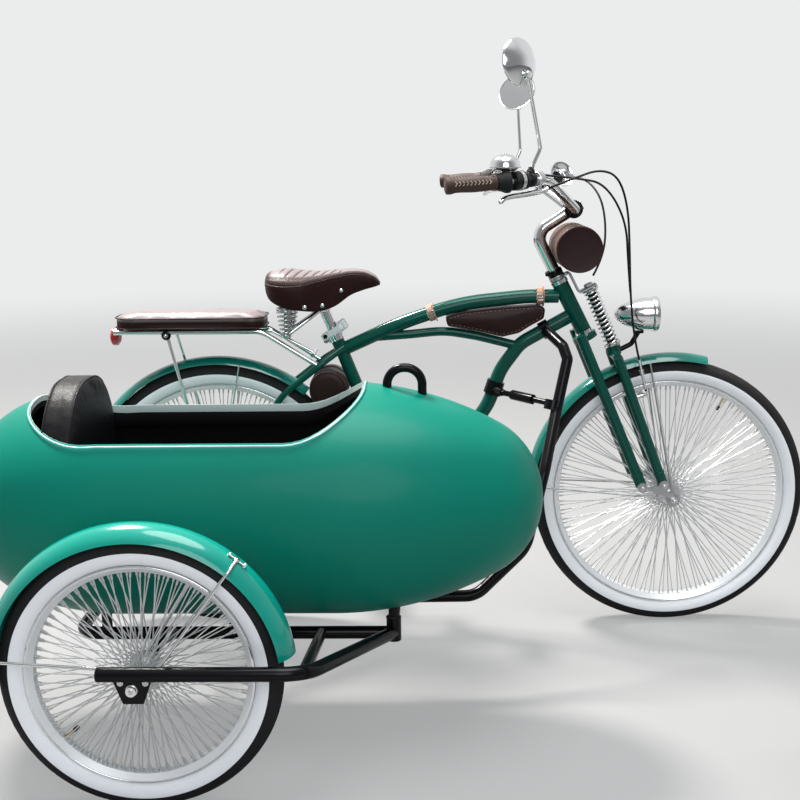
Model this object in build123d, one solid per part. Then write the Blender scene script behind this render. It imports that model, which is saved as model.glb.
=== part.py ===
"""Cruiser bicycle with springer fork and an egg-shaped one-seat sidecar on its right.

Everything is laid out with X forward, Y to the rider's left and Z up, in millimetres,
from the point on the floor below the rear axle in the bicycle's middle plane.  The
finished pieces are then moved so that zero is below the middle of the whole vehicle.
"""
import os
from math import asin, atan2, cos, pi, radians, sin, tan

from build123d import *

# Gaps
FIT = 0.2            # between pieces that are seated on each other
BEARING = 0.3        # radial, between an axle or pin and its bore
RUNNING = 1.0        # axial, between turning and standing faces

# Wheels
WHEELBASE = 1115
BIKE_WHEEL_R = 334
SIDE_WHEEL_R = 257
SIDE_WHEEL_Y = -880
TYRE_WIDTH = 54
RIM_EDGE_DEPTH = 51  # from the tread down to the rim's edge
RIM_INNER_DEPTH = 64
RIM_WIDTH = 38
SPOKE_PAIRS = 36     # spokes on each side of a hub
SPOKE_WIDTH = 2.4
HUB_BARREL_R = 14
FLANGE_R = 29
FLANGE_THICKNESS = 3
FRONT_HUB_HALF = 34
REAR_HUB_HALF = 36
SIDE_HUB_HALF = 34
AXLE_R = 5
AXLE_NUT_R = 9
AXLE_NUT_LENGTH = 9
AXLE_STUB = 8        # of thread beyond the nut

# Steering axis, from the lower end of the head tube
HEAD_BOTTOM = (898, 0, 742)
HEAD_ANGLE = 63.2    # above the floor, in degrees
HEAD_LENGTH = 129
HEAD_TUBE_R = 19.5
HEAD_BORE_R = 16.5
STEERER_R = 12.7
CUP_R = 21
CUP_HEIGHT = 9
STEERER_TOP = 165    # above the lower end of the head tube

# Frame tubes
TOP_TUBE_R = 17
LOWER_TUBE_R = 11
DOWN_TUBE_R = 17
SEAT_TUBE_R = 16
CHAIN_STAY_R = 9
SEAT_STAY_R = 8
BRACKET_X = 470      # bottom bracket
BRACKET_Z = 290
BRACKET_R = 21
BRACKET_HALF = 34
SEAT_TUBE_TOP = (293, 0, 735)
SEAT_POST_R = 13.6
SEAT_POST_TOP = (268, 0, 796)
DROPOUT_Y = 62       # middle of a rear dropout plate
DROPOUT_THICKNESS = 6

# Crank
CRANK_LENGTH = 165
CRANK_ARM_Y = 68
CHAIN_Y = 46
CHAINRING_R = 84
COG_R = 34
CHAIN_HALF_HEIGHT = 4
CHAIN_WIDTH = 7
SPINDLE_R = 8
PEDAL_LENGTH = 92
PEDAL_WIDTH = 78
PEDAL_HEIGHT = 24

# Fork
LEG_Y = 60
FORK_LEG_R = 13
FRONT_LEG_R = 12

# Handlebar
BAR_R = 11
GRIP_R = 17
BAR_HALF = 342

# Fenders
FENDER_GAP = 18      # from the tread to the fender's crown
FENDER_WIDTH = 66
FENDER_DROP = 17     # from its crown to its edges
FENDER_SHEET = 2

# Sidecar body: a shell turned about a level axis
BODY_Y = -535
BODY_R = 235
BODY_WALL = 4
BELLY_CLEARANCE = 22  # above the chassis rails
NOSE_X = 749
NOSE_R = 172
NOSE_TURN = 61.5
TAIL_X = -425
TAIL_R = 215
TAIL_TURN = 70
OPENING_BACK = -272
OPENING_FRONT = 395
OPENING_WIDTH = 372
OPENING_CORNER = 150
TRIM_THICKNESS = 6
TRIM_PROUD = 3
TRIM_DEPTH = 18      # inwards from the skin
FLOOR_ABOVE_BELLY = 53
FLOOR_SHEET = 6
SEAT_HEIGHT = 112
SEAT_LENGTH = 340
BACKREST_X = -190
BACKREST_PROUD = 25  # above the body
BACKREST_WIDTH = 344
BACKREST_THICKNESS = 68
HANDLE_X = (436, 506)
HANDLE_R = 9
HANDLE_RISE = 30     # of its middle line above the body

# Sidecar chassis
RAIL_R = 13
RAIL_Z = 212
OUTER_RAIL_Y = -596
INNER_RAIL_Y = -400
RAIL_BACK = -200
RAIL_FRONT = 445
ARM_Y = -950
ARM_Z = 285
ARM_BACK = -59
ARM_FRONT = 302
STAY_R = 13

BODY_Z = RAIL_Z + RAIL_R + BELLY_CLEARANCE + BODY_R
FLOOR_Z = BODY_Z - BODY_R + FLOOR_ABOVE_BELLY
BACKREST_TOP = BODY_Z + BODY_R + BACKREST_PROUD
FRONT_AXLE = (WHEELBASE, 0, BIKE_WHEEL_R)
REAR_AXLE = (0, 0, BIKE_WHEEL_R)
SIDE_AXLE = (0, SIDE_WHEEL_Y, SIDE_WHEEL_R)
BRACKET = (BRACKET_X, 0, BRACKET_Z)
MIRROR_R = 50
MIRROR_Y = 300

pieces = {}


def steer(up, forward, side=0):
    """A point from its place along and ahead of the steering axis."""
    lean = radians(HEAD_ANGLE)
    return Vector(
        HEAD_BOTTOM[0] - up * cos(lean) + forward * sin(lean),
        side,
        HEAD_BOTTOM[2] + up * sin(lean) + forward * cos(lean),
    )


def rod(start, end, radius, bore=0):
    """A round bar, or a tube with a bore, from one point to another."""
    start, end = Vector(*start), Vector(*end)
    face = Circle(radius)
    if bore:
        face -= Circle(bore)
    bar = extrude(face, amount=(end - start).length)
    return Plane(origin=start, z_dir=end - start).location * bar


def bent(points, bends, radius):
    """A round tube along straight runs joined by tangent arcs."""
    path = FilletPolyline(*[Vector(*p) for p in points], radius=bends)
    return sweep(Plane(origin=path @ 0, z_dir=path % 0) * Circle(radius), path=path)


def both_sides(shape):
    return shape + mirror(shape, about=Plane.XZ)


def turned(outline):
    """A ring about the Y axis from (radius, y) corners."""
    return revolve(make_face(Polyline(*outline, close=True)), axis=Axis.Y)


def turned_along(start, end, outline):
    """A solid turned about the line from start to end, from (radius, distance) corners."""
    start, end = Vector(*start), Vector(*end)
    shape = revolve(make_face(Polyline(*outline, close=True)), axis=Axis.Y)
    shape = Rot(X=90) * shape
    return Plane(origin=start, z_dir=end - start).location * shape


def coil_outline(length, mean_r, wire_r, turns):
    """Half outline of a coil spring drawn as stacked rings on a core."""
    pitch = (length - 2 * wire_r) / turns
    points = [(0, 0), (mean_r + wire_r, 0)]
    for turn in range(turns):
        base = 2 * wire_r + turn * pitch
        points += [
            (mean_r + wire_r, base),
            (mean_r - wire_r, base + (pitch - 2 * wire_r) * 0.35),
            (mean_r - wire_r, base + (pitch - 2 * wire_r) * 0.65),
            (mean_r + wire_r, base + pitch - 2 * wire_r),
        ]
    points += [(mean_r + wire_r, length), (0, length)]
    return points


# Wheels
def tyre(radius):
    section = Pos(radius - TYRE_WIDTH / 2, 0) * Circle(TYRE_WIDTH / 2)
    seat = radius - RIM_EDGE_DEPTH + FIT
    section &= Pos(seat + TYRE_WIDTH, 0) * Rectangle(2 * TYRE_WIDTH, 2 * TYRE_WIDTH)
    return revolve(section, axis=Axis.Y)


def rim(radius):
    inner, edge, half = radius - RIM_INNER_DEPTH, radius - RIM_EDGE_DEPTH, RIM_WIDTH / 2
    slope = RIM_WIDTH / 4
    return turned([(inner, -slope), (inner, slope), (inner + slope, half), (edge, half),
                   (edge, -half), (inner + slope, -half)])


def spoked_hub(radius, half, bore):
    """Hub barrel, flanges and a dished, spoked cone from each flange to the rim."""
    rim_in = radius - RIM_INNER_DEPTH - FIT
    out = half - 2
    hub = turned([(bore, -half), (HUB_BARREL_R, -half), (HUB_BARREL_R, half), (bore, half)])
    for side in (-1, 1):
        hub += turned([(bore + 1, side * (out - FLANGE_THICKNESS)),
                       (FLANGE_R, side * (out - FLANGE_THICKNESS)),
                       (FLANGE_R, side * out), (bore + 1, side * out)])
        at_rim = side * RIM_WIDTH / 6
        cone = turned([(FLANGE_R - 2, side * out), (FLANGE_R - 2, side * (out - SPOKE_WIDTH)),
                       (rim_in, at_rim - side * SPOKE_WIDTH), (rim_in, at_rim)])
        hub += cone - spoke_windows(FLANGE_R + 3, rim_in - 4, half + 1)
    return hub


def spoke_windows(inner, outer, half):
    windows = []
    step = 2 * pi / SPOKE_PAIRS
    for number in range(SPOKE_PAIRS):
        corners = []
        for reach, turn in ((inner, 1), (outer, 1), (outer, -1), (inner, -1)):
            edge = asin(SPOKE_WIDTH / 2 / reach)
            angle = number * step + (edge if turn > 0 else step - edge)
            corners.append((reach * cos(angle), 0, reach * sin(angle)))
        window = make_face(Polyline(*corners, close=True))
        windows.append(extrude(window, amount=half, dir=(0, 1, 0), both=True))
    return Compound(children=windows)


def wheel(name, centre, radius, hub_half):
    at = Pos(*centre)
    pieces[name + "_tyre"] = at * tyre(radius)
    pieces[name + "_rim"] = at * rim(radius)
    pieces[name + "_spokes"] = at * spoked_hub(radius, hub_half, AXLE_R + BEARING)


def fender(centre, radius, low, high, width=FENDER_WIDTH, gap=FENDER_GAP, drop=FENDER_DROP):
    """A curved sheet over a wheel, from angle low to angle high above the +X axis."""
    crown = radius + gap
    half = width / 2
    outer = ThreePointArc((crown - drop, -half), (crown, 0), (crown - drop, half))
    inner = ThreePointArc((crown - drop, half - FENDER_SHEET * 1.2), (crown - FENDER_SHEET, 0),
                          (crown - drop, -half + FENDER_SHEET * 1.2))
    section = make_face([outer, Line(outer @ 1, inner @ 0), inner, Line(inner @ 1, outer @ 0)])
    sheet = revolve(section, axis=Axis.Y, revolution_arc=high - low)
    return Pos(*centre) * Rot(Y=-high) * sheet


def axle(centre, left, right, name):
    """An axle through a hub, with a nut on each end; left and right are Y of the nuts' ends."""
    x, y, z = centre
    pin = rod((x, y + right - AXLE_STUB, z), (x, y + left + AXLE_STUB, z), AXLE_R)
    pin += rod((x, y + left - AXLE_NUT_LENGTH, z), (x, y + left, z), AXLE_NUT_R)
    pin += rod((x, y + right + AXLE_NUT_LENGTH, z), (x, y + right, z), AXLE_NUT_R)
    pieces[name] = pin


# Bicycle frame
TOP_TUBE = [(836, 0, 826), (760, 0, 826), (598, 0, 811), (452, 0, 763), (303, 0, 696)]
TOP_TUBE_BENDS = [500, 600, 900]
LOWER_TUBE = [(392, 0, 730), (480, 0, 736), (560, 0, 744), (640, 0, 730), (735, 0, 706)]
LOWER_TUBE_BENDS = [400, 250, 400]
DOWN_TUBE = [(862, 0, 776), (745, 0, 711), (696, 0, 645), (668, 0, 560), (BRACKET_X, 0, BRACKET_Z)]
DOWN_TUBE_BENDS = [90, 150, 160]

CHAIN_STAY = [(BRACKET_X - 8, 18, BRACKET_Z), (380, 24, 295), (300, 44, 305),
              (14, DROPOUT_Y, BIKE_WHEEL_R - 2)]
CHAIN_STAY_BENDS = [150, 200]
SEAT_STAY = [(313, 14, 706), (262, 46, 672), (165, 56, 597), (8, DROPOUT_Y, BIKE_WHEEL_R + 12)]
SEAT_STAY_BENDS = [60, 130]


def frame_tubes(extra=0):
    """The main tubes, each as much thicker as is asked for."""
    return [
        bent(TOP_TUBE, TOP_TUBE_BENDS, TOP_TUBE_R + extra),
        bent(LOWER_TUBE, LOWER_TUBE_BENDS, LOWER_TUBE_R + extra),
        bent(DOWN_TUBE, DOWN_TUBE_BENDS, DOWN_TUBE_R + extra),
        rod(BRACKET, SEAT_TUBE_TOP, SEAT_TUBE_R + extra),
    ]


def bicycle_frame():
    frame = rod(steer(0, 0), steer(HEAD_LENGTH, 0), HEAD_TUBE_R)
    for tube in frame_tubes():
        frame += tube
    bracket_ends = [(BRACKET_X, side * BRACKET_HALF, BRACKET_Z) for side in (-1, 1)]
    frame += rod(*bracket_ends, BRACKET_R)
    seat_stay = bent(SEAT_STAY, SEAT_STAY_BENDS, SEAT_STAY_R)
    chain_stay = bent(CHAIN_STAY, CHAIN_STAY_BENDS, CHAIN_STAY_R)
    dropout = Pos(0, DROPOUT_Y, BIKE_WHEEL_R) * Rot(X=90) * extrude(
        Circle(26), amount=DROPOUT_THICKNESS / 2, both=True)
    frame += both_sides(seat_stay + chain_stay + dropout)
    seat_in = Vector(*BRACKET) + (Vector(*SEAT_TUBE_TOP) - Vector(*BRACKET)) * 0.55
    frame -= rod(tuple(seat_in), SEAT_POST_TOP, SEAT_POST_R + FIT)
    frame -= rod(steer(-5, 0), steer(HEAD_LENGTH + 5, 0), HEAD_BORE_R)
    frame -= rod((BRACKET_X, -60, BRACKET_Z), (BRACKET_X, 60, BRACKET_Z), SPINDLE_R + BEARING)
    frame -= rod((0, -90, BIKE_WHEEL_R), (0, 90, BIKE_WHEEL_R), AXLE_R + FIT)
    frame -= Pos(*REAR_AXLE) * turned([(0, -REAR_HUB_HALF - 12), (BIKE_WHEEL_R + 6, -REAR_HUB_HALF + 4),
                                       (BIKE_WHEEL_R + 6, REAR_HUB_HALF - 4), (0, REAR_HUB_HALF + 12)])
    return frame


def cups():
    low = rod(steer(-CUP_HEIGHT, 0), steer(0, 0), CUP_R, STEERER_R + BEARING)
    high = rod(steer(HEAD_LENGTH, 0), steer(HEAD_LENGTH + CUP_HEIGHT, 0), CUP_R,
               STEERER_R + BEARING)
    return low + high


# Steering
# Columns: along the axis, ahead of it, to the left
BAR_END = (470, -142, BAR_HALF)
BAR_BEND = (421, -30, 318)
BAR_RISE = (382, 60, 230)
BAR_FOOT = (275, 104, 70)
BAR_BENDS = [60, 160, 75, 75, 160, 60]
CLAMP_UP = 275
CLAMP_AHEAD = 104
STEM_R = 15
GRIP_LENGTH = 108
HOUSING_R = 20
REAR_PIVOT = (-401, -44)
FRONT_PIVOT = (-420, 5)
LEG_TOP = (2, -15)
YOKE = (-88, 41)
SPRING_TOP = (85, 58)
SPRING_FOOT = (-66, 48)
SPRING_R = 24
LINK_Y = 74
LINK_THICKNESS = 5
PIN_R = 4


def fork_rear():
    """Steerer, crown and the two rear legs."""
    fork = rod(steer(-18, 0), steer(STEERER_TOP, 0), STEERER_R)
    crown = rod(steer(-CUP_HEIGHT - RUNNING, -4), steer(-CUP_HEIGHT - RUNNING - 14, -4), 30)
    crown += rod(steer(-17, -15, -LEG_Y), steer(-17, -15, LEG_Y), 8)
    fork += crown
    leg = rod(steer(*LEG_TOP, LEG_Y), steer(*REAR_PIVOT, LEG_Y), FORK_LEG_R)
    fork += both_sides(leg)
    return fork - link_pins(FIT)


def fork_front():
    """Front legs with their yoke and the seat of the spring."""
    legs = both_sides(rod(steer(*YOKE, LEG_Y), steer(*FRONT_PIVOT, LEG_Y), FRONT_LEG_R))
    legs += rod(steer(*YOKE, -LEG_Y), steer(*YOKE, LEG_Y), 11)
    legs += rod(steer(*YOKE), steer(*SPRING_FOOT), 18)
    return legs - link_pins(FIT) - spring_room()


def link_pins(extra=0):
    pins = [rod(steer(*place, 40), steer(*place, LINK_Y + 1), PIN_R + extra)
            for place in (REAR_PIVOT, FRONT_PIVOT)]
    return both_sides(pins[0] + pins[1])


def fork_links():
    corners = [steer(*place, LINK_Y) for place in (REAR_PIVOT, FRONT_PIVOT)]
    corners.append(Vector(WHEELBASE, LINK_Y, BIKE_WHEEL_R))
    plate = None
    for number, corner in enumerate(corners):
        following = corners[(number + 1) % 3]
        boss = rod(corner, corner + Vector(0, LINK_THICKNESS, 0), 12)
        web = extrude(make_face(Polyline(*[tuple(p) for p in corners], close=True)),
                      amount=LINK_THICKNESS, dir=(0, 1, 0))
        plate = boss + web if plate is None else plate + boss
    links = both_sides(plate) + link_pins()
    x, z = FRONT_AXLE[0], FRONT_AXLE[2]
    return links - rod((x, -120, z), (x, 120, z), AXLE_R + FIT)


def spring_room():
    """The space of the fork's spring, with a little to spare."""
    top, foot = steer(*SPRING_TOP), steer(*SPRING_FOOT)
    way = (top - foot).normalized()
    return rod(foot - way * FIT, top + way * FIT, SPRING_R + 2)


def fork_spring():
    top, foot = steer(*SPRING_TOP), steer(*SPRING_FOOT)
    length = (top - foot).length
    return turned_along(foot, top, coil_outline(length, SPRING_R - 3.5, 3.5, 11))


def spring_bracket():
    base = HEAD_LENGTH + CUP_HEIGHT + RUNNING
    bracket = rod(steer(base, 0), steer(base + 11, 0), 20)
    side = [(base, 10), (base + 9, 10), (base + 9, 33), (95, 34), (95, 76), (SPRING_TOP[0], 76),
            (SPRING_TOP[0], 27.5), (base, 27.5)]
    face = make_face(Polyline(*[tuple(steer(*corner)) for corner in side], close=True))
    bracket += extrude(face, amount=17, dir=(0, 1, 0), both=True)
    return bracket - rod(steer(base - 9, 0), steer(base + 20, 0), STEERER_R + FIT) - spring_room()


def stem():
    base = HEAD_LENGTH + CUP_HEIGHT + RUNNING + 11
    path = [steer(base, 0), steer(CLAMP_UP - 10, 0), steer(CLAMP_UP, CLAMP_AHEAD)]
    shape = bent(path, [36], STEM_R)
    clamp = steer(CLAMP_UP, CLAMP_AHEAD)
    shape += rod(clamp - Vector(0, 26, 0), clamp + Vector(0, 26, 0), 19)
    shape -= rod(clamp - Vector(0, 40, 0), clamp + Vector(0, 40, 0), BAR_R + FIT)
    return shape - rod(steer(base - 5, 0), steer(STEERER_TOP + FIT, 0), STEERER_R + FIT)


def on_bar(start, end, distance):
    """A point on a straight stretch of the right-hand half of the bar."""
    start, end = steer(*start), steer(*end)
    return start + (end - start).normalized() * distance


def handlebar(extra=0):
    half = [BAR_END, BAR_BEND, BAR_RISE, BAR_FOOT]
    points = [steer(up, ahead, -side) for up, ahead, side in half]
    points += [steer(*place) for place in reversed(half)]
    return bent(points, BAR_BENDS, BAR_R + extra)


def grips():
    start, end = on_bar(BAR_END, BAR_BEND, -3), on_bar(BAR_END, BAR_BEND, GRIP_LENGTH)
    grip = rod(start, end, GRIP_R) - rod(on_bar(BAR_END, BAR_BEND, -FIT), end + (end - start),
                                         BAR_R + FIT)
    return both_sides(grip)


def bar_ring(start, end, radius):
    """A collar on the sloping stretch of the bar beside each grip."""
    low, high = on_bar(BAR_BEND, BAR_RISE, start), on_bar(BAR_BEND, BAR_RISE, end)
    return rod(low, high, radius, BAR_R + FIT)


def control_housings():
    return both_sides(bar_ring(24, 66, HOUSING_R))


# Brake levers: distances along the sloping stretch of the bar, and below its middle
PERCH = (97, 115)
PERCH_R = 17
PIVOT_DROP = 27
LEVER_R = 5


def below_bar(distance, drop):
    """A point below the left-hand sloping stretch, at right angles to it."""
    middle = on_bar(BAR_BEND, BAR_RISE, distance)
    along = (on_bar(BAR_BEND, BAR_RISE, 1) - on_bar(BAR_BEND, BAR_RISE, 0)).normalized()
    down = Vector(0, 0, -1) + along * along.Z
    return middle + down.normalized() * drop


def lever_pivot():
    return below_bar(sum(PERCH) / 2, PIVOT_DROP)


def brake_levers():
    """A clamp on the bar, the blade pivoted under it and the cable's barrel."""
    perch = bar_ring(*PERCH, PERCH_R)
    perch += rod(below_bar(sum(PERCH) / 2, BAR_R + 2), lever_pivot(), 7)
    perch += bent([lever_pivot() + Vector(0, 0, 1), below_bar(12, PIVOT_DROP + 6),
                   below_bar(-12, PIVOT_DROP + 14)], [60], LEVER_R)
    perch += rod(lever_pivot(), steer(*LEFT_CABLE[0]), LEVER_R)
    return both_sides(perch - handlebar(FIT))


# Columns: side of the bar, the mirror's place along and ahead of the axis
MIRRORS = [(-1, 626, 108), (1, 583, 135)]
MIRROR_DEPTH = 16


def mirror_facing(side):
    """The way a mirror's glass looks: back, and a little towards the rider."""
    return Vector(-1, -side * 0.35, 0).normalized()


def mirrors():
    """Round mirrors on bent stems, each clamped to the bar."""
    shapes, bar = None, handlebar(FIT)
    for side, up, ahead in MIRRORS:
        centre = steer(up, ahead, side * MIRROR_Y)
        back = centre - mirror_facing(side) * MIRROR_DEPTH
        outline = [(0, 0), (12, 0), (30, 5), (44, 11), (MIRROR_R, MIRROR_DEPTH),
                   (MIRROR_R, MIRROR_DEPTH + 3), (0, MIRROR_DEPTH + 3)]
        foot = on_bar(BAR_BEND, BAR_RISE, 82)
        foot = Vector(foot.X, side * foot.Y, foot.Z)
        points = [foot + Vector(0, 0, BAR_R - 2), foot + Vector(0, 0, 38),
                  foot + Vector(9, side * 2, 68), back + mirror_facing(side) * 4]
        ring = bar_ring(78, 86, 16)
        if side < 0:
            ring = mirror(ring, about=Plane.XZ)
        one = ring + bent(points, [18, 24], 4.5) - bar + turned_along(back, centre, outline)
        shapes = one if shapes is None else shapes + one
    return shapes


def bell():
    foot = on_bar(BAR_BEND, BAR_RISE, 34)
    foot = Vector(foot.X, -foot.Y, foot.Z + HOUSING_R + 2)
    middle = foot + Vector(-22, 4, 6)
    outline = [(0, 0), (33, 0), (33, 6), (30, 16), (22, 25), (10, 29), (0, 30)]
    dome = turned_along(middle, middle + Vector(0, 0, 30), outline)
    shape = dome + rod(foot - Vector(0, 0, 8), foot + Vector(0, 0, 8), 7)
    low, high = on_bar(BAR_BEND, BAR_RISE, 10), on_bar(BAR_BEND, BAR_RISE, 80)
    return shape - mirror(rod(low, high, HOUSING_R + FIT), about=Plane.XZ)


def horn():
    back, mouth = steer(354, 65, -12), steer(365, 109, -82)
    length = (mouth - back).length
    outline = [(0, 0), (13, 0), (14, 5), (14, 30), (9, 36), (11, length - 30), (18, length - 13),
               (29, length), (26, length), (15, length - 13), (8, length - 28), (0, length - 28)]
    shape = turned_along(back, mouth, outline)
    clamp = steer(CLAMP_UP, CLAMP_AHEAD)
    shape += rod(clamp - Vector(0, 42, 0), clamp - Vector(0, 29, 0), 16)
    shape += rod(clamp - Vector(0, 35, 0), steer(357, 78, -32), 6)
    return shape - rod(clamp - Vector(0, 60, 0), clamp - Vector(0, 20, 0), BAR_R + FIT)


LAMP_BACK = (0, 85)
LAMP_R = 40
LAMP_LENGTH = 107


def headlamp():
    back = steer(*LAMP_BACK)
    outline = [(0, 0), (14, 2), (26, 12), (36, 32), (LAMP_R, 56), (LAMP_R, 90), (LAMP_R + 3, 93),
               (LAMP_R + 3, 103), (LAMP_R - 4, LAMP_LENGTH), (0, LAMP_LENGTH)]
    return turned_along(back, back + Vector(1, 0, 0), outline)


def headlamp_bracket():
    lamp = steer(*LAMP_BACK)
    top = Vector(lamp.X + 60, 0, lamp.Z - LAMP_R - FIT)
    arm = bent([steer(YOKE[0] + 4, YOKE[1] + 11), steer(YOKE[0] + 4, YOKE[1] + 48), top], [12], 6)
    foot = rod(top - Vector(0, 0, 6), top, 11)
    shape = arm + foot
    shape -= rod(steer(*YOKE, -LEG_Y), steer(*YOKE, LEG_Y), 11 + FIT)
    shape -= rod(steer(*YOKE), steer(*SPRING_FOOT), 18 + FIT)
    return shape - rod(lamp, lamp + Vector(LAMP_LENGTH, 0, 0), LAMP_R + FIT)


def front_brake():
    arm = bent([steer(-195, 29 + FRONT_LEG_R - 4, LEG_Y), steer(-200, 58, LEG_Y - 4),
                steer(-203, 66, 46), steer(-203, 56, 36)], [10, 8], 5)
    pad = rod(steer(-203, 56, 40), steer(-203, 56, RIM_WIDTH / 2 + 5), 7)
    leg = rod(steer(*YOKE, LEG_Y), steer(*FRONT_PIVOT, LEG_Y), FRONT_LEG_R + FIT)
    return both_sides(arm + pad - leg)


def front_fender_stays():
    """Two wires each side from the fork's links to the fender's edge."""
    crown = BIKE_WHEEL_R + FENDER_GAP
    stays = None
    for angle in (100, 176):
        reach = crown - FENDER_DROP
        edge = (FRONT_AXLE[0] + reach * cos(radians(angle)), FENDER_WIDTH / 2 + 2.4,
                FRONT_AXLE[2] + reach * sin(radians(angle)))
        start = (FRONT_AXLE[0] + 16 * cos(radians(angle)), LINK_Y - 3,
                 FRONT_AXLE[2] + 16 * sin(radians(angle)))
        wire = rod(start, edge, 2.2)
        stays = wire if stays is None else stays + wire
    stays += rod((FRONT_AXLE[0], LINK_Y - 5, FRONT_AXLE[2]), (FRONT_AXLE[0], LINK_Y + 1,
                                                              FRONT_AXLE[2]), 17)
    stays -= rod((FRONT_AXLE[0], 40, FRONT_AXLE[2]), (FRONT_AXLE[0], 90, FRONT_AXLE[2]), AXLE_R + FIT)
    return both_sides(stays)


def roll_bag():
    middle = steer(190, 55 + STEM_R + FIT)
    outline = [(0, 0), (50, 0), (55, 5), (55, 175), (50, 180), (0, 180)]
    return turned_along(middle - Vector(0, 90, 0), middle + Vector(0, 90, 0), outline)


# Columns of each row: along the axis, ahead of it, to the left
CABLE_R = 2.6
RIGHT_CABLE = [(362, 51, -245), (353, 113, -215), (341, 180, -150), (303, 220, -100),
               (227, 212, -82), (134, 173, -78), (43, 132, -76), (-51, 97, -76), (-142, 76, -72),
               (-190, 66, -64)]
LEFT_CABLE = [(362, 51, 245), (348, 116, 200), (325, 172, 120), (269, 185, 60), (198, 162, 34),
              (135, 122, 22), (106, 80, 18)]
LAMP_WIRE = [(391, 58, -251), (371, 88, -205), (345, 128, -150), (301, 188, -80),
             (200, 198, -60), (105, 160, -52), (40, 136, -47)]


def cable(route):
    """A cable whose arcs are as large as the two runs at each point allow."""
    points = [steer(*place) for place in route]
    bends = []
    for number in range(1, len(points) - 1):
        back = points[number - 1] - points[number]
        ahead = points[number + 1] - points[number]
        turn = radians(180 - back.get_angle(ahead))
        bends.append(0.45 * min(back.length, ahead.length) / tan(turn / 2))
    return bent(points, bends, CABLE_R)


# Seat, rack and bags
SPRING_X = 178
SPRING_Y = 58
SADDLE_SPRING_R = 22
SADDLE_SPRING_FOOT = 745
SADDLE_BASE = 812
RACK_Z = 752
RACK_R = 6
RACK_Y = 48
RACK_BACK = -240
RACK_BEND = 118
RACK_END_BAR = RACK_BACK + 8
RACK_BAR_R = 5
REFLECTOR_R = 22
PAD_LENGTH = 372
PAD_WIDTH = 132
PAD_TOP = 797
ROLL_R = 46
ROLL_HALF = 62


def seat_axis(height):
    """The point of the seat tube's axis at a height."""
    share = (height - BRACKET_Z) / (SEAT_TUBE_TOP[2] - BRACKET_Z)
    return Vector(BRACKET_X + (SEAT_TUBE_TOP[0] - BRACKET_X) * share, 0, height)


def seat_collar():
    top = Vector(*SEAT_TUBE_TOP)
    up = (top - Vector(*BRACKET)).normalized()
    ring = rod(top - up * 12, top + up * 2, 22)
    ring += rod(top - up * 5 + Vector(-24, -12, -8), top - up * 5 + Vector(-24, 12, -8), 6)
    return ring - rod(top - up * 40, top, SEAT_TUBE_R + FIT) - rod(top - up, top + up * 9, SEAT_POST_R + FIT)


def seat_post():
    foot = seat_axis(BRACKET_Z + (SEAT_TUBE_TOP[2] - BRACKET_Z) * 0.56)
    return rod(foot, SEAT_POST_TOP, SEAT_POST_R)


def saddle():
    # Columns: X, Z of the side; then X, Y of the plan
    side = [(128, 850), (146, 822), (158, SADDLE_BASE), (204, SADDLE_BASE), (228, 797),
            (276, 797), (330, 824), (398, 844), (403, 866), (350, 874), (290, 881), (225, 902),
            (160, 899), (130, 880)]
    plan = [(126, -62), (150, -90), (212, -92), (268, -56), (312, -32), (396, -25), (405, -8),
            (405, 8), (396, 25), (312, 32), (268, 56), (212, 92), (150, 90), (126, 62)]
    side_face = make_face(Polyline(*[(x, 0, z) for x, z in side], close=True))
    plan_face = make_face(Polyline(*[(x, y, 780) for x, y in plan], close=True))
    body = extrude(side_face, amount=110, dir=(0, 1, 0), both=True)
    body &= extrude(plan_face, amount=140, dir=(0, 0, 1))
    hollow = Pos(272, 0, 800) * Box(100, 80, 64)
    return body - hollow


def saddle_springs():
    length = SADDLE_BASE - SADDLE_SPRING_FOOT - 2 * FIT
    foot = Vector(SPRING_X, SPRING_Y, SADDLE_SPRING_FOOT + FIT)
    spring = turned_along(foot, foot + Vector(0, 0, length),
                          coil_outline(length, SADDLE_SPRING_R - 3, 3, 5))
    return both_sides(spring)


def saddle_rails():
    """The clamp on the post, and the bars from it to the springs and the saddle's nose."""
    x, z = SEAT_POST_TOP[0], SEAT_POST_TOP[2] + 11
    rails = rod((x, -24, z), (x, 24, z), 12)
    bar = bent([(x, 18, z), (x - 40, 40, z - 30), (SPRING_X, SPRING_Y, SADDLE_SPRING_FOOT - 5)],
               [60], 5)
    foot = rod((SPRING_X, SPRING_Y, SADDLE_SPRING_FOOT - 6),
               (SPRING_X, SPRING_Y, SADDLE_SPRING_FOOT), SADDLE_SPRING_R)
    nose = rod((x, 16, z + 4), (318, 12, 825), 4)
    rails += both_sides(bar + foot + nose)
    return rails - rod(seat_axis(700), Vector(*SEAT_POST_TOP) + Vector(0, 0, FIT), SEAT_POST_R + FIT)


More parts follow.
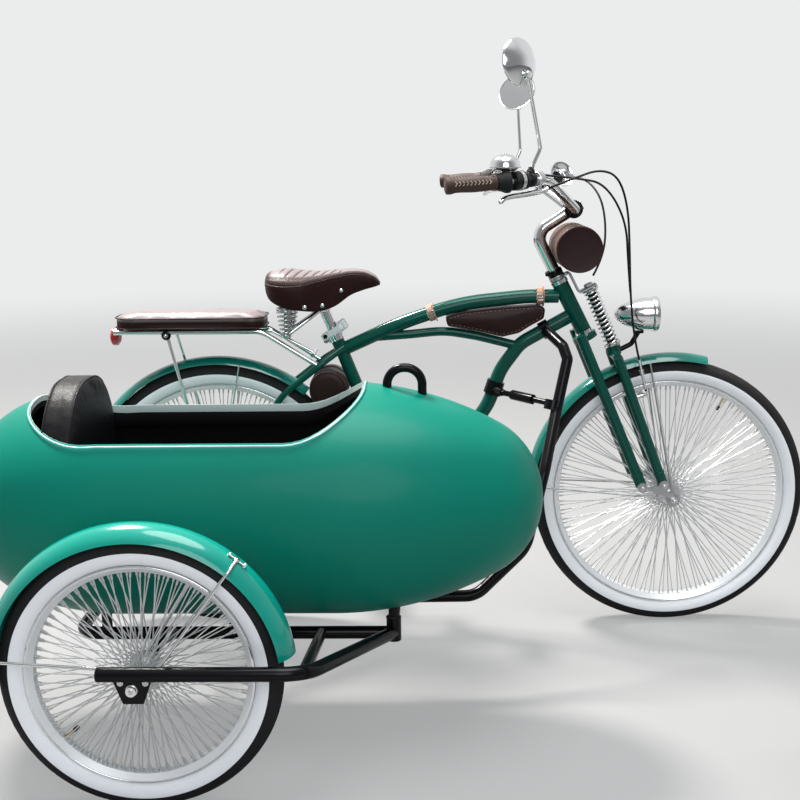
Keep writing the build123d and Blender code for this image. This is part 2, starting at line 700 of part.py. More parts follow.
def rear_rack():
    """Two side rails with cross bars, a strut each side and a centre bar to the seat stays."""
    stay_end = Vector(*SEAT_STAY[1]) + Vector(-8, 0, -6)
    rail = bent([(RACK_BACK, RACK_Y, RACK_Z), (RACK_BEND, RACK_Y, RACK_Z), tuple(stay_end)], [60], RACK_R)
    strut = rod((-112, RACK_Y, RACK_Z - 2), (-10, DROPOUT_Y + 8.5, BIKE_WHEEL_R + 18), RACK_R - 1.6)
    rack = both_sides(rail + strut)
    for x, z in ((RACK_END_BAR, RACK_Z), (-124, RACK_Z), (60, RACK_Z), (240, 692)):
        rack += rod((x, -RACK_Y + 1, z), (x, RACK_Y - 1, z), RACK_BAR_R)
    rack += rod((60, 0, RACK_Z), (140, 0, RACK_Z - 6), RACK_R - 2)
    rack += rod((137, 0, RACK_Z - 5), (240, 0, 692), RACK_R - 2)
    stay = bent(SEAT_STAY, SEAT_STAY_BENDS, SEAT_STAY_R + FIT)
    return rack - stay - mirror(stay, about=Plane.XZ)


def rack_pad():
    low = RACK_Z + RACK_R + FIT
    height = PAD_TOP - low
    middle = Pos(RACK_BACK - 3 + PAD_LENGTH / 2, 0, low + height / 2)
    pad = middle * Box(PAD_LENGTH, PAD_WIDTH, height)
    return fillet(pad.edges().filter_by(Axis.Z), 34)


def tail_reflector():
    """A round reflector on the rack's last bar, below the pad."""
    height = RACK_Z + RACK_R - REFLECTOR_R
    start = (RACK_END_BAR - RACK_BAR_R - FIT, 0, height)
    outline = [(0, 0), (14, 0), (REFLECTOR_R, 5), (REFLECTOR_R, 16), (18, 20), (0, 20)]
    return turned_along(start, (start[0] - 20, 0, height), outline)


STAY_WIRE_R = 2.2
LINK_EYE_R = 12
REAR_STAY_ANGLES = (80, 150)


def rear_fender_stays():
    """Wires on each side from beside the axle's nut, or the link's eye, to the fender's edge."""
    reach = BIKE_WHEEL_R + FENDER_GAP - FENDER_DROP + 3
    wires = []
    for side, boss in ((1, AXLE_NUT_R), (-1, LINK_EYE_R)):
        start = boss + FIT
        for angle in REAR_STAY_ANGLES:
            turn = radians(angle)
            inner = (start * cos(turn), side * (DROPOUT_Y + 8.8), BIKE_WHEEL_R + start * sin(turn))
            edge = (reach * cos(turn), side * (FENDER_WIDTH / 2 + STAY_WIRE_R + FIT),
                    BIKE_WHEEL_R + reach * sin(turn))
            wires.append(rod(inner, edge, STAY_WIRE_R))
    return Compound(children=wires)


STRAP_THICKNESS = 3.4
STRAPS = [((783, 0, 826), (797, 0, 826)), ((520, 0, 785.6), (533, 0, 789.8))]


def frame_bag():
    """A flat leather bag that fills the gap between the two upper tubes."""
    outline = [(556, 788), (600, 798), (700, 808), (790, 812), (806, 800), (801, 774),
               (762, 752), (740, 736), (700, 716), (640, 722), (566, 744)]
    face = make_face(Polyline(*[(x, 0, z) for x, z in outline], close=True))
    bag = extrude(face, amount=24, dir=(0, 1, 0), both=True)
    for tube in frame_tubes(FIT + 0.3):
        bag -= tube
    for start, end in STRAPS:
        bag -= rod(start, end, TOP_TUBE_R + STRAP_THICKNESS + FIT)
    return bag.solids().sort_by(SortBy.VOLUME)[-1]


def bag_straps():
    """Two leather straps round the top tube."""
    straps = None
    for start, end in STRAPS:
        ring = rod(start, end, TOP_TUBE_R + STRAP_THICKNESS, TOP_TUBE_R + 0.8)
        straps = ring if straps is None else straps + ring
    return straps


def tool_roll():
    axis_gap = ROLL_R + SEAT_TUBE_R + FIT + 0.1
    lean = atan2(BRACKET_X - SEAT_TUBE_TOP[0], SEAT_TUBE_TOP[2] - BRACKET_Z)
    middle = seat_axis(608) - Vector(axis_gap / cos(lean), 0, 0)
    outline = [(0, 0), (ROLL_R - 5, 0), (ROLL_R, 5), (ROLL_R, 2 * ROLL_HALF - 5),
               (ROLL_R - 5, 2 * ROLL_HALF), (0, 2 * ROLL_HALF)]
    return turned_along(middle - Vector(0, ROLL_HALF, 0), middle + Vector(0, ROLL_HALF, 0), outline)


# Crank, chain and pedals
def crankset():
    x, z = BRACKET_X, BRACKET_Z
    crank = rod((x, -CRANK_ARM_Y, z), (x, CRANK_ARM_Y, z), SPINDLE_R)
    ring = rod((x, -CHAIN_Y - 2, z), (x, -CHAIN_Y + 2, z), CHAINRING_R)
    for turn in range(5):
        angle = radians(72 * turn + 18)
        hole = (x + 52 * cos(angle), z + 52 * sin(angle))
        ring -= rod((hole[0], -CHAIN_Y - 9, hole[1]), (hole[0], -CHAIN_Y + 9, hole[1]), 21)
    crank += ring
    for side in (-1, 1):
        inner, outer = side * (CRANK_ARM_Y - 7), side * (CRANK_ARM_Y + 7)
        end_x = x - side * CRANK_LENGTH
        crank += rod((x, inner, z), (x, outer, z), 17)
        crank += rod((end_x, inner, z), (end_x, outer, z), 13)
        crank += Pos((x + end_x) / 2, side * CRANK_ARM_Y, z) * Box(CRANK_LENGTH, 12, 22)
        crank -= rod((end_x, side * 40, z), (end_x, side * 100, z), PIN_R + BEARING)
    return crank


def pedal(side):
    x, z = BRACKET_X - side * CRANK_LENGTH, BRACKET_Z
    start = CRANK_ARM_Y + 7 + RUNNING
    body = Pos(x, side * (start + 4 + PEDAL_LENGTH / 2), z) * Box(PEDAL_WIDTH, PEDAL_LENGTH, PEDAL_HEIGHT)
    for across in (-1, 1):
        body -= Pos(x + across * 21, side * (start + 4 + PEDAL_LENGTH / 2), z) * Box(26, PEDAL_LENGTH - 20, 60)
    return body + rod((x, side * (CRANK_ARM_Y - 7), z), (x, side * (start + 12), z), PIN_R)


def chain():
    big, small = CHAINRING_R + 1, COG_R + 1
    middle = []
    for grow in (CHAIN_HALF_HEIGHT * 2, 0):
        loop = make_hull((Pos(BRACKET_X, BRACKET_Z) * Circle(big + grow)).edges()
                         + (Pos(0, BIKE_WHEEL_R) * Circle(small + grow)).edges())
        middle.append(loop)
    face = middle[0] - middle[1]
    band = Rot(X=90) * extrude(face, amount=CHAIN_WIDTH / 2, both=True)
    return Pos(0, -CHAIN_Y, 0) * band


def cog():
    low, high = -CHAIN_Y - 2, -CHAIN_Y + 2
    shape = turned([(AXLE_R + BEARING, low - 2), (18, low - 2), (18, low), (COG_R, low),
                    (COG_R, high), (18, high), (18, -REAR_HUB_HALF + 1),
                    (AXLE_R + BEARING, -REAR_HUB_HALF + 1)])
    return Pos(*REAR_AXLE) * shape


# Sidecar
def egg(inset=0):
    """The body's solid of revolution, its skin moved inwards by an inset."""
    corners = []
    for tip, small, turn, way in ((NOSE_X, NOSE_R, NOSE_TURN, 1), (TAIL_X, TAIL_R, TAIL_TURN, -1)):
        angle = radians(turn)
        large = (BODY_R - small * sin(angle)) / (1 - sin(angle))
        small_x = tip - way * small
        large_x = small_x - way * (large - small) * cos(angle)
        large_y = BODY_R - large
        small_now, large_now = small - inset, large - inset
        corners.append([(small_x + way * small_now, 0),
                        (small_x + way * small_now * cos(angle / 2), small_now * sin(angle / 2)),
                        (small_x + way * small_now * cos(angle), small_now * sin(angle)),
                        (large_x + way * large_now * cos((angle + radians(90)) / 2),
                         large_y + large_now * sin((angle + radians(90)) / 2)),
                        (large_x, BODY_R - inset)])
    nose, tail = corners
    edges = [ThreePointArc(nose[0], nose[1], nose[2]), ThreePointArc(nose[2], nose[3], nose[4]),
             Line(nose[4], tail[4]), ThreePointArc(tail[4], tail[3], tail[2]),
             ThreePointArc(tail[2], tail[1], tail[0]), Line(tail[0], nose[0])]
    solid = revolve(make_face(edges), axis=Axis.X)
    return Pos(0, BODY_Y, BODY_Z) * solid


def opening(inset=0):
    """The upright prism of the cockpit's opening."""
    length = OPENING_FRONT - OPENING_BACK
    plan = RectangleRounded(length - 2 * inset, OPENING_WIDTH - 2 * inset, OPENING_CORNER - inset)
    return Pos(OPENING_BACK + length / 2, BODY_Y, BODY_Z + 20) * extrude(plan, amount=BODY_R + 60)


def sidecar_body():
    return egg() - egg(BODY_WALL) - opening()


def cockpit_trim():
    ring = opening(FIT) - opening(TRIM_THICKNESS)
    band = egg(-TRIM_PROUD) - egg(TRIM_DEPTH)
    return ring & band


def sidecar_floor():
    sheet = Pos(120, BODY_Y, FLOOR_Z + FLOOR_SHEET / 2) * Box(900, 600, FLOOR_SHEET)
    return sheet & egg(BODY_WALL + FIT)


def sidecar_seat():
    low = FLOOR_Z + FLOOR_SHEET + FIT
    back = BACKREST_X + BACKREST_THICKNESS / 2 + FIT
    cushion = Pos(back + SEAT_LENGTH / 2, BODY_Y, low + SEAT_HEIGHT / 2) * Box(SEAT_LENGTH, 380, SEAT_HEIGHT)
    cushion = fillet(cushion.edges().filter_by(Axis.Z), 30)
    return cushion & egg(BODY_WALL + 1)


def sidecar_backrest():
    low = FLOOR_Z + FLOOR_SHEET + FIT
    height = BACKREST_TOP - low
    slab = Box(BACKREST_THICKNESS, BACKREST_WIDTH, height)
    slab = fillet(slab.edges().filter_by(Axis.X), 60)
    slab = Pos(BACKREST_X, BODY_Y, low + height / 2) * slab
    return slab & egg(TRIM_DEPTH + 1).fuse(opening(TRIM_THICKNESS + 2))


def grab_handle():
    """A low arch on the deck ahead of the cockpit."""
    back, front = HANDLE_X
    top, foot = BODY_Z + BODY_R + HANDLE_RISE, BODY_Z + BODY_R / 2
    bend = (front - back) / 2 - 1
    arch = bent([(back, BODY_Y, foot), (back, BODY_Y, top), (front, BODY_Y, top),
                 (front, BODY_Y, foot)], [bend, bend], HANDLE_R)
    return (arch - egg(-FIT)).solids().sort_by(Axis.Z)[-1]


ARM = [(ARM_BACK, ARM_Y, ARM_Z), (ARM_FRONT, ARM_Y, ARM_Z), (RAIL_FRONT, OUTER_RAIL_Y, RAIL_Z)]
CROSS_R = 11
CROSS_X = 120
UPRIGHT_R = 15
UPRIGHT_TOP = 246


def rails(extra=0):
    """The chassis's long tube, bent round behind, and its cross tubes."""
    loop = [(RAIL_FRONT, INNER_RAIL_Y, RAIL_Z), (RAIL_BACK, INNER_RAIL_Y, RAIL_Z),
            (RAIL_BACK, OUTER_RAIL_Y, RAIL_Z), (RAIL_FRONT, OUTER_RAIL_Y, RAIL_Z)]
    tubes = [bent(loop, [45, 45], RAIL_R + extra)]
    for x in (CROSS_X, RAIL_FRONT):
        tubes.append(rod((x, OUTER_RAIL_Y, RAIL_Z), (x, INNER_RAIL_Y, RAIL_Z), CROSS_R + extra))
    return tubes


def sidecar_chassis():
    chassis = None
    for tube in rails():
        chassis = tube if chassis is None else chassis + tube
    chassis += bent(ARM, [70], RAIL_R)
    for y, top in ((OUTER_RAIL_Y, UPRIGHT_TOP), (INNER_RAIL_Y, RAIL_Z + UPRIGHT_R)):
        chassis += rod((RAIL_FRONT, y, RAIL_Z - UPRIGHT_R), (RAIL_FRONT, y, top), UPRIGHT_R)
    chassis += rod((ARM_FRONT - 4, OUTER_RAIL_Y, RAIL_Z), (ARM_FRONT - 4, ARM_Y + 4, ARM_Z), CROSS_R)
    chassis += bent([(0, OUTER_RAIL_Y, RAIL_Z), (0, -720, 250), (0, -834, SIDE_WHEEL_R)], [120], CROSS_R)
    chassis += rod((0, -838, SIDE_WHEEL_R), (0, -828, SIDE_WHEEL_R), 18)
    plate = make_face(Polyline((-34, ARM_Y, ARM_Z - 4), (38, ARM_Y, ARM_Z - 4), (20, ARM_Y, 232),
                               (-16, ARM_Y, 232), close=True))
    chassis += extrude(plate, amount=4, dir=(0, 1, 0), both=True)
    return chassis - rod((0, -815, SIDE_WHEEL_R), (0, -990, SIDE_WHEEL_R), AXLE_R + FIT)


PAD_R = 10.5
# Columns: X, Y, lower end
BODY_PADS = [
    (RAIL_BACK + 60, OUTER_RAIL_Y, RAIL_Z),
    (RAIL_BACK, 2 * BODY_Y - OUTER_RAIL_Y, RAIL_Z),
    (CROSS_X, OUTER_RAIL_Y, RAIL_Z),
    (CROSS_X, 2 * BODY_Y - OUTER_RAIL_Y, RAIL_Z),
    (RAIL_FRONT, OUTER_RAIL_Y, UPRIGHT_TOP + FIT),
    (RAIL_FRONT, 2 * BODY_Y - OUTER_RAIL_Y, RAIL_Z),
]


def body_mounts():
    """Rubber pads on the chassis, cut to its tubes and to the body's belly."""
    pads = [rod((x, y, low), (x, y, BODY_Z - BODY_R / 2), PAD_R) for x, y, low in BODY_PADS]
    below = egg(-FIT)
    for tube in rails(FIT):
        pads = [pad - tube for pad in pads]
    return Compound(children=[(pad - below).solids().sort_by(Axis.Z)[0] for pad in pads])


SIDE_FENDER_WIDTH = 84
SIDE_FENDER_GAP = 24
SIDE_FENDER_DROP = 26


def sidecar_fender_stays():
    """Wires from the sidecar fender's edges to the arm outside and the carrier inside."""
    reach = SIDE_WHEEL_R + SIDE_FENDER_GAP - SIDE_FENDER_DROP + 3
    beside = SIDE_FENDER_WIDTH / 2 + 3.2
    stays = None
    for angle, foot_x, side in ((50, 46, -1), (171, ARM_BACK + 8, -1), (60, 0, 1)):
        turn = radians(angle)
        edge = (reach * cos(turn), SIDE_WHEEL_Y + side * beside, SIDE_WHEEL_R + reach * sin(turn))
        if side < 0:
            foot = (foot_x, ARM_Y + 4, ARM_Z + 8)
        else:
            foot = (foot_x, -832, SIDE_WHEEL_R + 14)
        wire = rod(foot, edge, 3)
        stays = wire if stays is None else stays + wire
    stays -= bent(ARM, [70], RAIL_R + FIT)
    return stays - rod((0, -838, SIDE_WHEEL_R), (0, -828, SIDE_WHEEL_R), 18 + FIT)


def head_stay():
    path = [(806, -DOWN_TUBE_R - 3, 745), (838, -94, 718), (847, -114, 690), (818, -156, 577),
            (783, -250, 458), (735, -330, 300), (620, -396, RAIL_Z),
            (RAIL_FRONT + UPRIGHT_R + FIT, INNER_RAIL_Y, RAIL_Z)]
    stay = bent(path, [16, 14, 90, 120, 90, 60], STAY_R)
    stay += down_tube_ring((806, 745), 12)
    return stay - bent(DOWN_TUBE, DOWN_TUBE_BENDS, DOWN_TUBE_R + FIT)


def down_tube_ring(place, half, radius=DOWN_TUBE_R + 5):
    """A ring round the down tube, in line with the stretch that it is on."""
    if place[1] > DOWN_TUBE[1][2]:
        start, end = Vector(*DOWN_TUBE[0]), Vector(*DOWN_TUBE[1])
    else:
        start, end = Vector(*DOWN_TUBE[2]), Vector(*DOWN_TUBE[3])
    way = (end - start).normalized()
    middle = start + way * (Vector(place[0], 0, place[1]) - start).dot(way)
    return rod(middle - way * half, middle + way * half, radius)


def stay_brace():
    """The short adjustable brace from the down tube to the head stay."""
    brace = down_tube_ring((682, 602), 17)
    brace += rod((682, -12, 600), (700, -40, 596), 9)
    brace += rod((700, -40, 596), (806, -143, 590), 7)
    brace += rod((722, -61, 595), (768, -106, 592), 12)
    ring = rod((812, -146, 598), (807, -151, 576), STAY_R + 6)
    brace += ring
    brace -= bent(DOWN_TUBE, DOWN_TUBE_BENDS, DOWN_TUBE_R + FIT)
    return brace


def seat_strut():
    """The tube from the seat tube down to the chassis."""
    middle = seat_axis(560)
    up = (Vector(*SEAT_TUBE_TOP) - Vector(*BRACKET)).normalized()
    strut = rod(middle - up * 13, middle + up * 13, SEAT_TUBE_R + 5)
    strut += rod(middle + Vector(0, -12, 0), (60, INNER_RAIL_Y, RAIL_Z), STAY_R)
    strut -= rod(BRACKET, SEAT_TUBE_TOP, SEAT_TUBE_R + FIT)
    for tube in rails(FIT):
        strut -= tube
    return strut.solids().sort_by(SortBy.VOLUME)[-1]


def rear_link():
    """The tube from the rear axle's end to the chassis."""
    inner, outer = -DROPOUT_Y - DROPOUT_THICKNESS / 2 - FIT, -DROPOUT_Y - DROPOUT_THICKNESS / 2 - 8
    link = rod((0, inner, BIKE_WHEEL_R), (0, outer, BIKE_WHEEL_R), LINK_EYE_R)
    link += Pos(0, (inner + outer) / 2, BIKE_WHEEL_R - 24) * Box(22, inner - outer, 52)
    link += bent([(0, inner - 1, 296), (0, -210, 262), (0, INNER_RAIL_Y, RAIL_Z)], [300], 12)
    for tube in rails(FIT):
        link -= tube
    link = link.solids().sort_by(SortBy.VOLUME)[-1]
    return link - rod((0, -90, BIKE_WHEEL_R), (0, -50, BIKE_WHEEL_R), AXLE_R + FIT)


wheel("front", FRONT_AXLE, BIKE_WHEEL_R, FRONT_HUB_HALF)
wheel("rear", REAR_AXLE, BIKE_WHEEL_R, REAR_HUB_HALF)
wheel("sidecar", SIDE_AXLE, SIDE_WHEEL_R, SIDE_HUB_HALF)
pieces["rear_spokes"] += cog()
axle(FRONT_AXLE, LINK_Y + LINK_THICKNESS + FIT + AXLE_NUT_LENGTH,
     -LINK_Y - LINK_THICKNESS - FIT - AXLE_NUT_LENGTH, "front_axle")
axle(REAR_AXLE, DROPOUT_Y + 3 + FIT + AXLE_NUT_LENGTH, -DROPOUT_Y - 11 - FIT - AXLE_NUT_LENGTH, "rear_axle")
pieces["sidecar_axle"] = (
    rod((0, -820, SIDE_WHEEL_R), (0, ARM_Y - 12, SIDE_WHEEL_R), AXLE_R)
    + rod((0, ARM_Y - 4 - FIT, SIDE_WHEEL_R), (0, ARM_Y - 11, SIDE_WHEEL_R), AXLE_NUT_R))
pieces["frame"] = bicycle_frame()
pieces["headset_cups"] = cups()
pieces["seat_post"] = seat_post() + seat_collar()
pieces["saddle"] = saddle()
pieces["saddle_frame"] = saddle_rails() + saddle_springs()
pieces["rear_rack"] = rear_rack()
pieces["rack_pad"] = rack_pad()
pieces["tail_reflector"] = tail_reflector()
pieces["rear_fender"] = fender(REAR_AXLE, BIKE_WHEEL_R, 50, 166)
pieces["rear_fender_stays"] = rear_fender_stays()
pieces["frame_bag"] = frame_bag()
pieces["bag_straps"] = bag_straps()
pieces["tool_roll"] = tool_roll()
pieces["chain"] = chain()
pieces["crankset"] = crankset()
pieces["right_pedal"] = pedal(-1)
pieces["left_pedal"] = pedal(1)
pieces["fork_rear"] = fork_rear()
pieces["fork_front"] = fork_front()
pieces["fork_links"] = fork_links() + front_fender_stays()
pieces["fork_spring"] = fork_spring()
pieces["spring_bracket"] = spring_bracket()
pieces["stem"] = stem()
pieces["handlebar"] = handlebar()
pieces["grips"] = grips()
pieces["control_housings"] = control_housings()
pieces["brake_levers"] = brake_levers()
pieces["mirrors"] = mirrors()
pieces["bell"] = bell()
pieces["horn"] = horn()
pieces["headlamp"] = headlamp()
pieces["headlamp_bracket"] = headlamp_bracket()
pieces["front_brake"] = front_brake()
pieces["front_fender"] = fender(FRONT_AXLE, BIKE_WHEEL_R, 76, 180)
pieces["roll_bag"] = roll_bag()
pieces["cables"] = Compound(children=[cable(route) - pieces["brake_levers"] - handlebar(FIT)
                                      for route in (RIGHT_CABLE, LEFT_CABLE, LAMP_WIRE)])
pieces["sidecar_body"] = sidecar_body()
pieces["cockpit_trim"] = cockpit_trim()
pieces["sidecar_floor"] = sidecar_floor()
pieces["sidecar_seat"] = sidecar_seat()
pieces["sidecar_backrest"] = sidecar_backrest()
pieces["grab_handle"] = grab_handle()
pieces["sidecar_chassis"] = sidecar_chassis()
pieces["body_mounts"] = body_mounts()
pieces["head_stay"] = head_stay() + stay_brace()
pieces["sidecar_struts"] = seat_strut() + rear_link()
pieces["sidecar_fender_stays"] = sidecar_fender_stays()
pieces["sidecar_fender"] = fender(SIDE_AXLE, SIDE_WHEEL_R, 8, 186, SIDE_FENDER_WIDTH, SIDE_FENDER_GAP,
                                   SIDE_FENDER_DROP)

os.makedirs("parts", exist_ok=True)
box = Compound(list(pieces.values())).bounding_box()
to_middle = Pos(-box.center().X, -box.center().Y, 0)
for name, shape in pieces.items():
    export_step(to_middle * shape, "parts/" + name + ".step")
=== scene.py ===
"""Beach cruiser bicycle with an egg-shaped sidecar: finishes, wheels, soft goods and small pieces.

Shapes are worked out in millimetres from the floor below the rear axle, in the bicycle's middle
plane, with X forward and Y to the rider's left. add_piece() turns them into metres in the
model's frame. Places along the steering axis are given by steered().
"""
import math

import bmesh
import bpy
import numpy as np
from mathutils import Matrix, Vector


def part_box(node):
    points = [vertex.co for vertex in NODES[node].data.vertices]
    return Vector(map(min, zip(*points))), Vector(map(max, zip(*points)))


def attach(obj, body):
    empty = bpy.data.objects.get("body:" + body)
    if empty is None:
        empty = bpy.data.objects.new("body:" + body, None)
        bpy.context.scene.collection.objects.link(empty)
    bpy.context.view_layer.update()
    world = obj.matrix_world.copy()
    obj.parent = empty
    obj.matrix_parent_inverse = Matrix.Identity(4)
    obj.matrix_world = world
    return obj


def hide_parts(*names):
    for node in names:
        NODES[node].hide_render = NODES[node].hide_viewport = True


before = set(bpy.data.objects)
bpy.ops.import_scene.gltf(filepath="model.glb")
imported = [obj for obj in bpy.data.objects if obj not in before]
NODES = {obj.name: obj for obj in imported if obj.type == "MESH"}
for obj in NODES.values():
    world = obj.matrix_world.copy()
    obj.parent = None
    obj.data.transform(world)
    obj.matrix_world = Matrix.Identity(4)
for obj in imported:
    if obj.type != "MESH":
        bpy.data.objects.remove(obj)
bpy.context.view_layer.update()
MM = 0.001
UP = np.array([0, 0, 1.0])
LEFT = np.array([0, 1.0, 0])
SHARP_ANGLE = math.radians(38)


def middle_of(node):
    """The middle of a node's box, in metres."""
    low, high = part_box(node)
    return np.array((low + high) / 2)


ORIGIN = middle_of("rear_rim") * [1, 1, 0]


def centre_of(node):
    """The middle of a node's box, in millimetres from the origin."""
    return (middle_of(node) - ORIGIN) / MM


HUBS = {name: centre_of(name + "_rim") for name in ("front", "rear", "sidecar")}

# Driving dimensions, in millimetres
BIKE_WHEEL_R = 334
SIDE_WHEEL_R = 257
SIDE_FENDER_GAP = 24
TYRE_R = 27
RIM_EDGE_DEPTH = 51
RIM_INNER_DEPTH = 64
RIM_HALF = 19
WHITE_BAND_DEPTH = 23
TREAD_PITCH = 9
SPOKES = 140
SPOKE_LEAD = math.radians(720 / 35)
SPOKE_R = 1.15
FLANGE_R = 29
HEAD_BOTTOM = np.array([898.0, 0, 742])
HEAD_LEAN = math.radians(63.2)
BRACKET = np.array([470.0, 0, 290])
BODY_Y = -535
BODY_Z = 482


def steered(up, ahead, side=0):
    """A point from its place along and ahead of the steering axis."""
    c, s = math.cos(HEAD_LEAN), math.sin(HEAD_LEAN)
    return HEAD_BOTTOM + np.array([-up * c + ahead * s, side, up * s + ahead * c])


# Surfaces: each is (points, quads, triangles)
def unit(way):
    """Directions of length 1."""
    way = np.asarray(way, float)
    return way / np.linalg.norm(way, axis=-1, keepdims=True)


def shape(points, quads, triangles):
    """A surface from arrays of places and of corner numbers."""
    return (np.asarray(points, float).reshape(-1, 3), np.asarray(quads, int).reshape(-1, 4),
            np.asarray(triangles, int).reshape(-1, 3))


def joined(*shapes):
    """Several surfaces as one, with the later ones' indices moved up."""
    starts = np.cumsum([0] + [len(s[0]) for s in shapes[:-1]])
    return (np.concatenate([s[0] for s in shapes]),
            np.concatenate([s[1] + n for s, n in zip(shapes, starts)]),
            np.concatenate([s[2] + n for s, n in zip(shapes, starts)]))


def moved(surface, matrix, offset):
    """The surface turned by a matrix, then shifted."""
    return (surface[0] @ np.asarray(matrix, float).T + np.asarray(offset, float), *surface[1:])


def mirrored(surface):
    """The surface and its image across the bicycle's middle plane."""
    return joined(surface, (surface[0] * [1, -1, 1], surface[1][:, ::-1], surface[2][:, ::-1]))


def grid(points, wrap_rows=False, wrap_columns=False, caps=False):
    """Quads between neighbours of a rows by columns array, with fans over open end rows."""
    rows, columns = points.shape[:2]
    index = np.arange(rows * columns).reshape(rows, columns)
    if wrap_rows:
        index = np.vstack([index, index[:1]])
    if wrap_columns:
        index = np.hstack([index, index[:, :1]])
    quads = np.stack([index[:-1, :-1], index[:-1, 1:], index[1:, 1:], index[1:, :-1]], -1)
    flat, triangles = points.reshape(-1, 3), ()
    if caps:
        centres = np.stack([points[0].mean(0), points[-1].mean(0)])
        ring = np.arange(columns)
        first = np.stack([np.full(columns, len(flat)), np.roll(ring, -1), ring], -1)
        last = np.stack([np.full(columns, len(flat) + 1), ring, np.roll(ring, -1)], -1)
        last[:, 1:] += (rows - 1) * columns
        flat, triangles = np.vstack([flat, centres]), np.vstack([first, last])
    return shape(flat, quads, triangles)


def facing(way):
    """The rotation that carries Z onto a direction, as its three columns."""
    way = unit(way)
    across = unit(np.cross(way, [0, 1, 0] if abs(way[1]) < 0.9 else [1, 0, 0]))
    return np.stack([across, np.cross(way, across), way], -1)


def lathed(place, way, outline, segments):
    """A surface of revolution, closed at both ends, from (radius, height) corners.

    Heights are measured from the place, in the given direction.
    """
    outline = np.asarray(outline, float)
    angle = np.linspace(0, 2 * math.pi, segments, endpoint=False)
    radius, height = outline[:, :1], outline[:, 1:]
    points = np.stack([radius * np.cos(angle), radius * np.sin(angle), height + 0 * angle], -1)
    return moved(grid(points, wrap_columns=True, caps=True), facing(way), place)


def ring_about_y(centre, section, segments, wave=None):
    """A closed (radius, y) section carried round a wheel's axis; wave adds to each radius."""
    section = np.asarray(section, float)
    angle = np.linspace(0, 2 * math.pi, segments, endpoint=False)[:, None]
    radius = section[:, 0] + (wave(angle, section) if wave else 0 * angle)
    points = np.stack([radius * np.cos(angle), section[:, 1] + 0 * angle,
                       radius * np.sin(angle)], -1)
    return grid(points + centre, True, True)


def rings_about_y(start, places, section, segments):
    """The same ring at several distances to the left of a start."""
    return [ring_about_y(start + LEFT * y, section, segments) for y in places]


def rounded(points, bends, step=7.0):
    """Straight runs joined by tangent arcs, as points; bends holds each corner's radius."""
    points = [np.asarray(p, float) for p in points]
    path = [points[0]]
    for before, corner, after, radius in zip(points, points[1:], points[2:], bends):
        back, ahead = unit(before - corner), unit(after - corner)
        half = math.acos(np.clip(back @ ahead, -1, 1)) / 2
        whole = math.pi - 2 * half
        reach = radius / math.tan(half)
        centre = corner + unit(back + ahead) * radius / math.sin(half)
        first = corner + back * reach - centre
        last = corner + ahead * reach - centre
        for share in np.linspace(0, 1, max(3, int(math.degrees(whole) / step) + 2)):
            path.append(centre + (first * math.sin((1 - share) * whole)
                                  + last * math.sin(share * whole)) / math.sin(whole))
    return np.array(path + [points[-1]])


def smooth(points, count):
    """A gentle curve through a few points: centripetal blends of neighbouring parabolas."""
    points = np.asarray(points, float)
    whole = np.vstack([2 * points[0] - points[1], points, 2 * points[-1] - points[-2]])
    place = np.linspace(0, len(points) - 1 - 1e-9, count)
    k, t = place.astype(int), (place % 1)[:, None]
    a, b, c, d = (whole[k + n] for n in range(4))
    return 0.5 * (2 * b + (c - a) * t + (2 * a - 5 * b + 4 * c - d) * t ** 2
                  + (3 * b - a - 3 * c + d) * t ** 3)


def swept(path, section, closed=False, size=1.0):
    """A closed section carried along a path, turning as little as it can.

    size grows the section, by one number or by one for each point of the path.
    """
    path, section = np.asarray(path, float), np.asarray(section, float)
    step = np.roll(path, -1, 0) - np.roll(path, 1, 0)
    if not closed:
        step[0], step[-1] = path[1] - path[0], path[-1] - path[-2]
    tangent = unit(step)
    first = [unit(np.cross(tangent[0], UP if abs(tangent[0][2]) < 0.9 else LEFT))]
    for way in tangent[1:]:
        first.append(unit(first[-1] - way * (first[-1] @ way)))
    first = np.array(first)
    second = np.cross(tangent, first)
    offset = first[:, None] * section[None, :, :1] + second[:, None] * section[None, :, 1:]
    size = np.broadcast_to(np.asarray(size, float), (len(path),))
    return grid(path[:, None] + offset * size[:, None, None], closed, True, not closed)


def circle(radius, sides):
    """Corners of a circle, counted from its first axis."""
    angle = np.linspace(0, 2 * math.pi, sides, endpoint=False)
    return np.stack([np.cos(angle), np.sin(angle)], -1) * radius


def tube(path, radius, sides, closed=False):
    """A circle carried along a path; radius is one number or one for each point."""
    return swept(path, circle(1.0, sides), closed, radius)


def helix(start, end, radii, wire, turns, sides):
    """A round wire wound from start to end, its radius going evenly from one to the other.

    The rise is even too, but for a flat part of a turn at each end.
    """
    flat, steps_per_turn = 0.7, 40
    turn = np.linspace(0, turns, int(turns * steps_per_turn) + 1)
    share = np.clip((turn - flat) / (turns - 2 * flat), 0, 1)
    length = np.linalg.norm(end - start) - 2 * wire
    radius = radii[0] + (radii[1] - radii[0]) * share
    local = np.stack([radius * np.cos(turn * 2 * math.pi), radius * np.sin(turn * 2 * math.pi),
                      wire + share * length], -1)
    return tube(local @ facing(end - start).T + start, wire, sides)


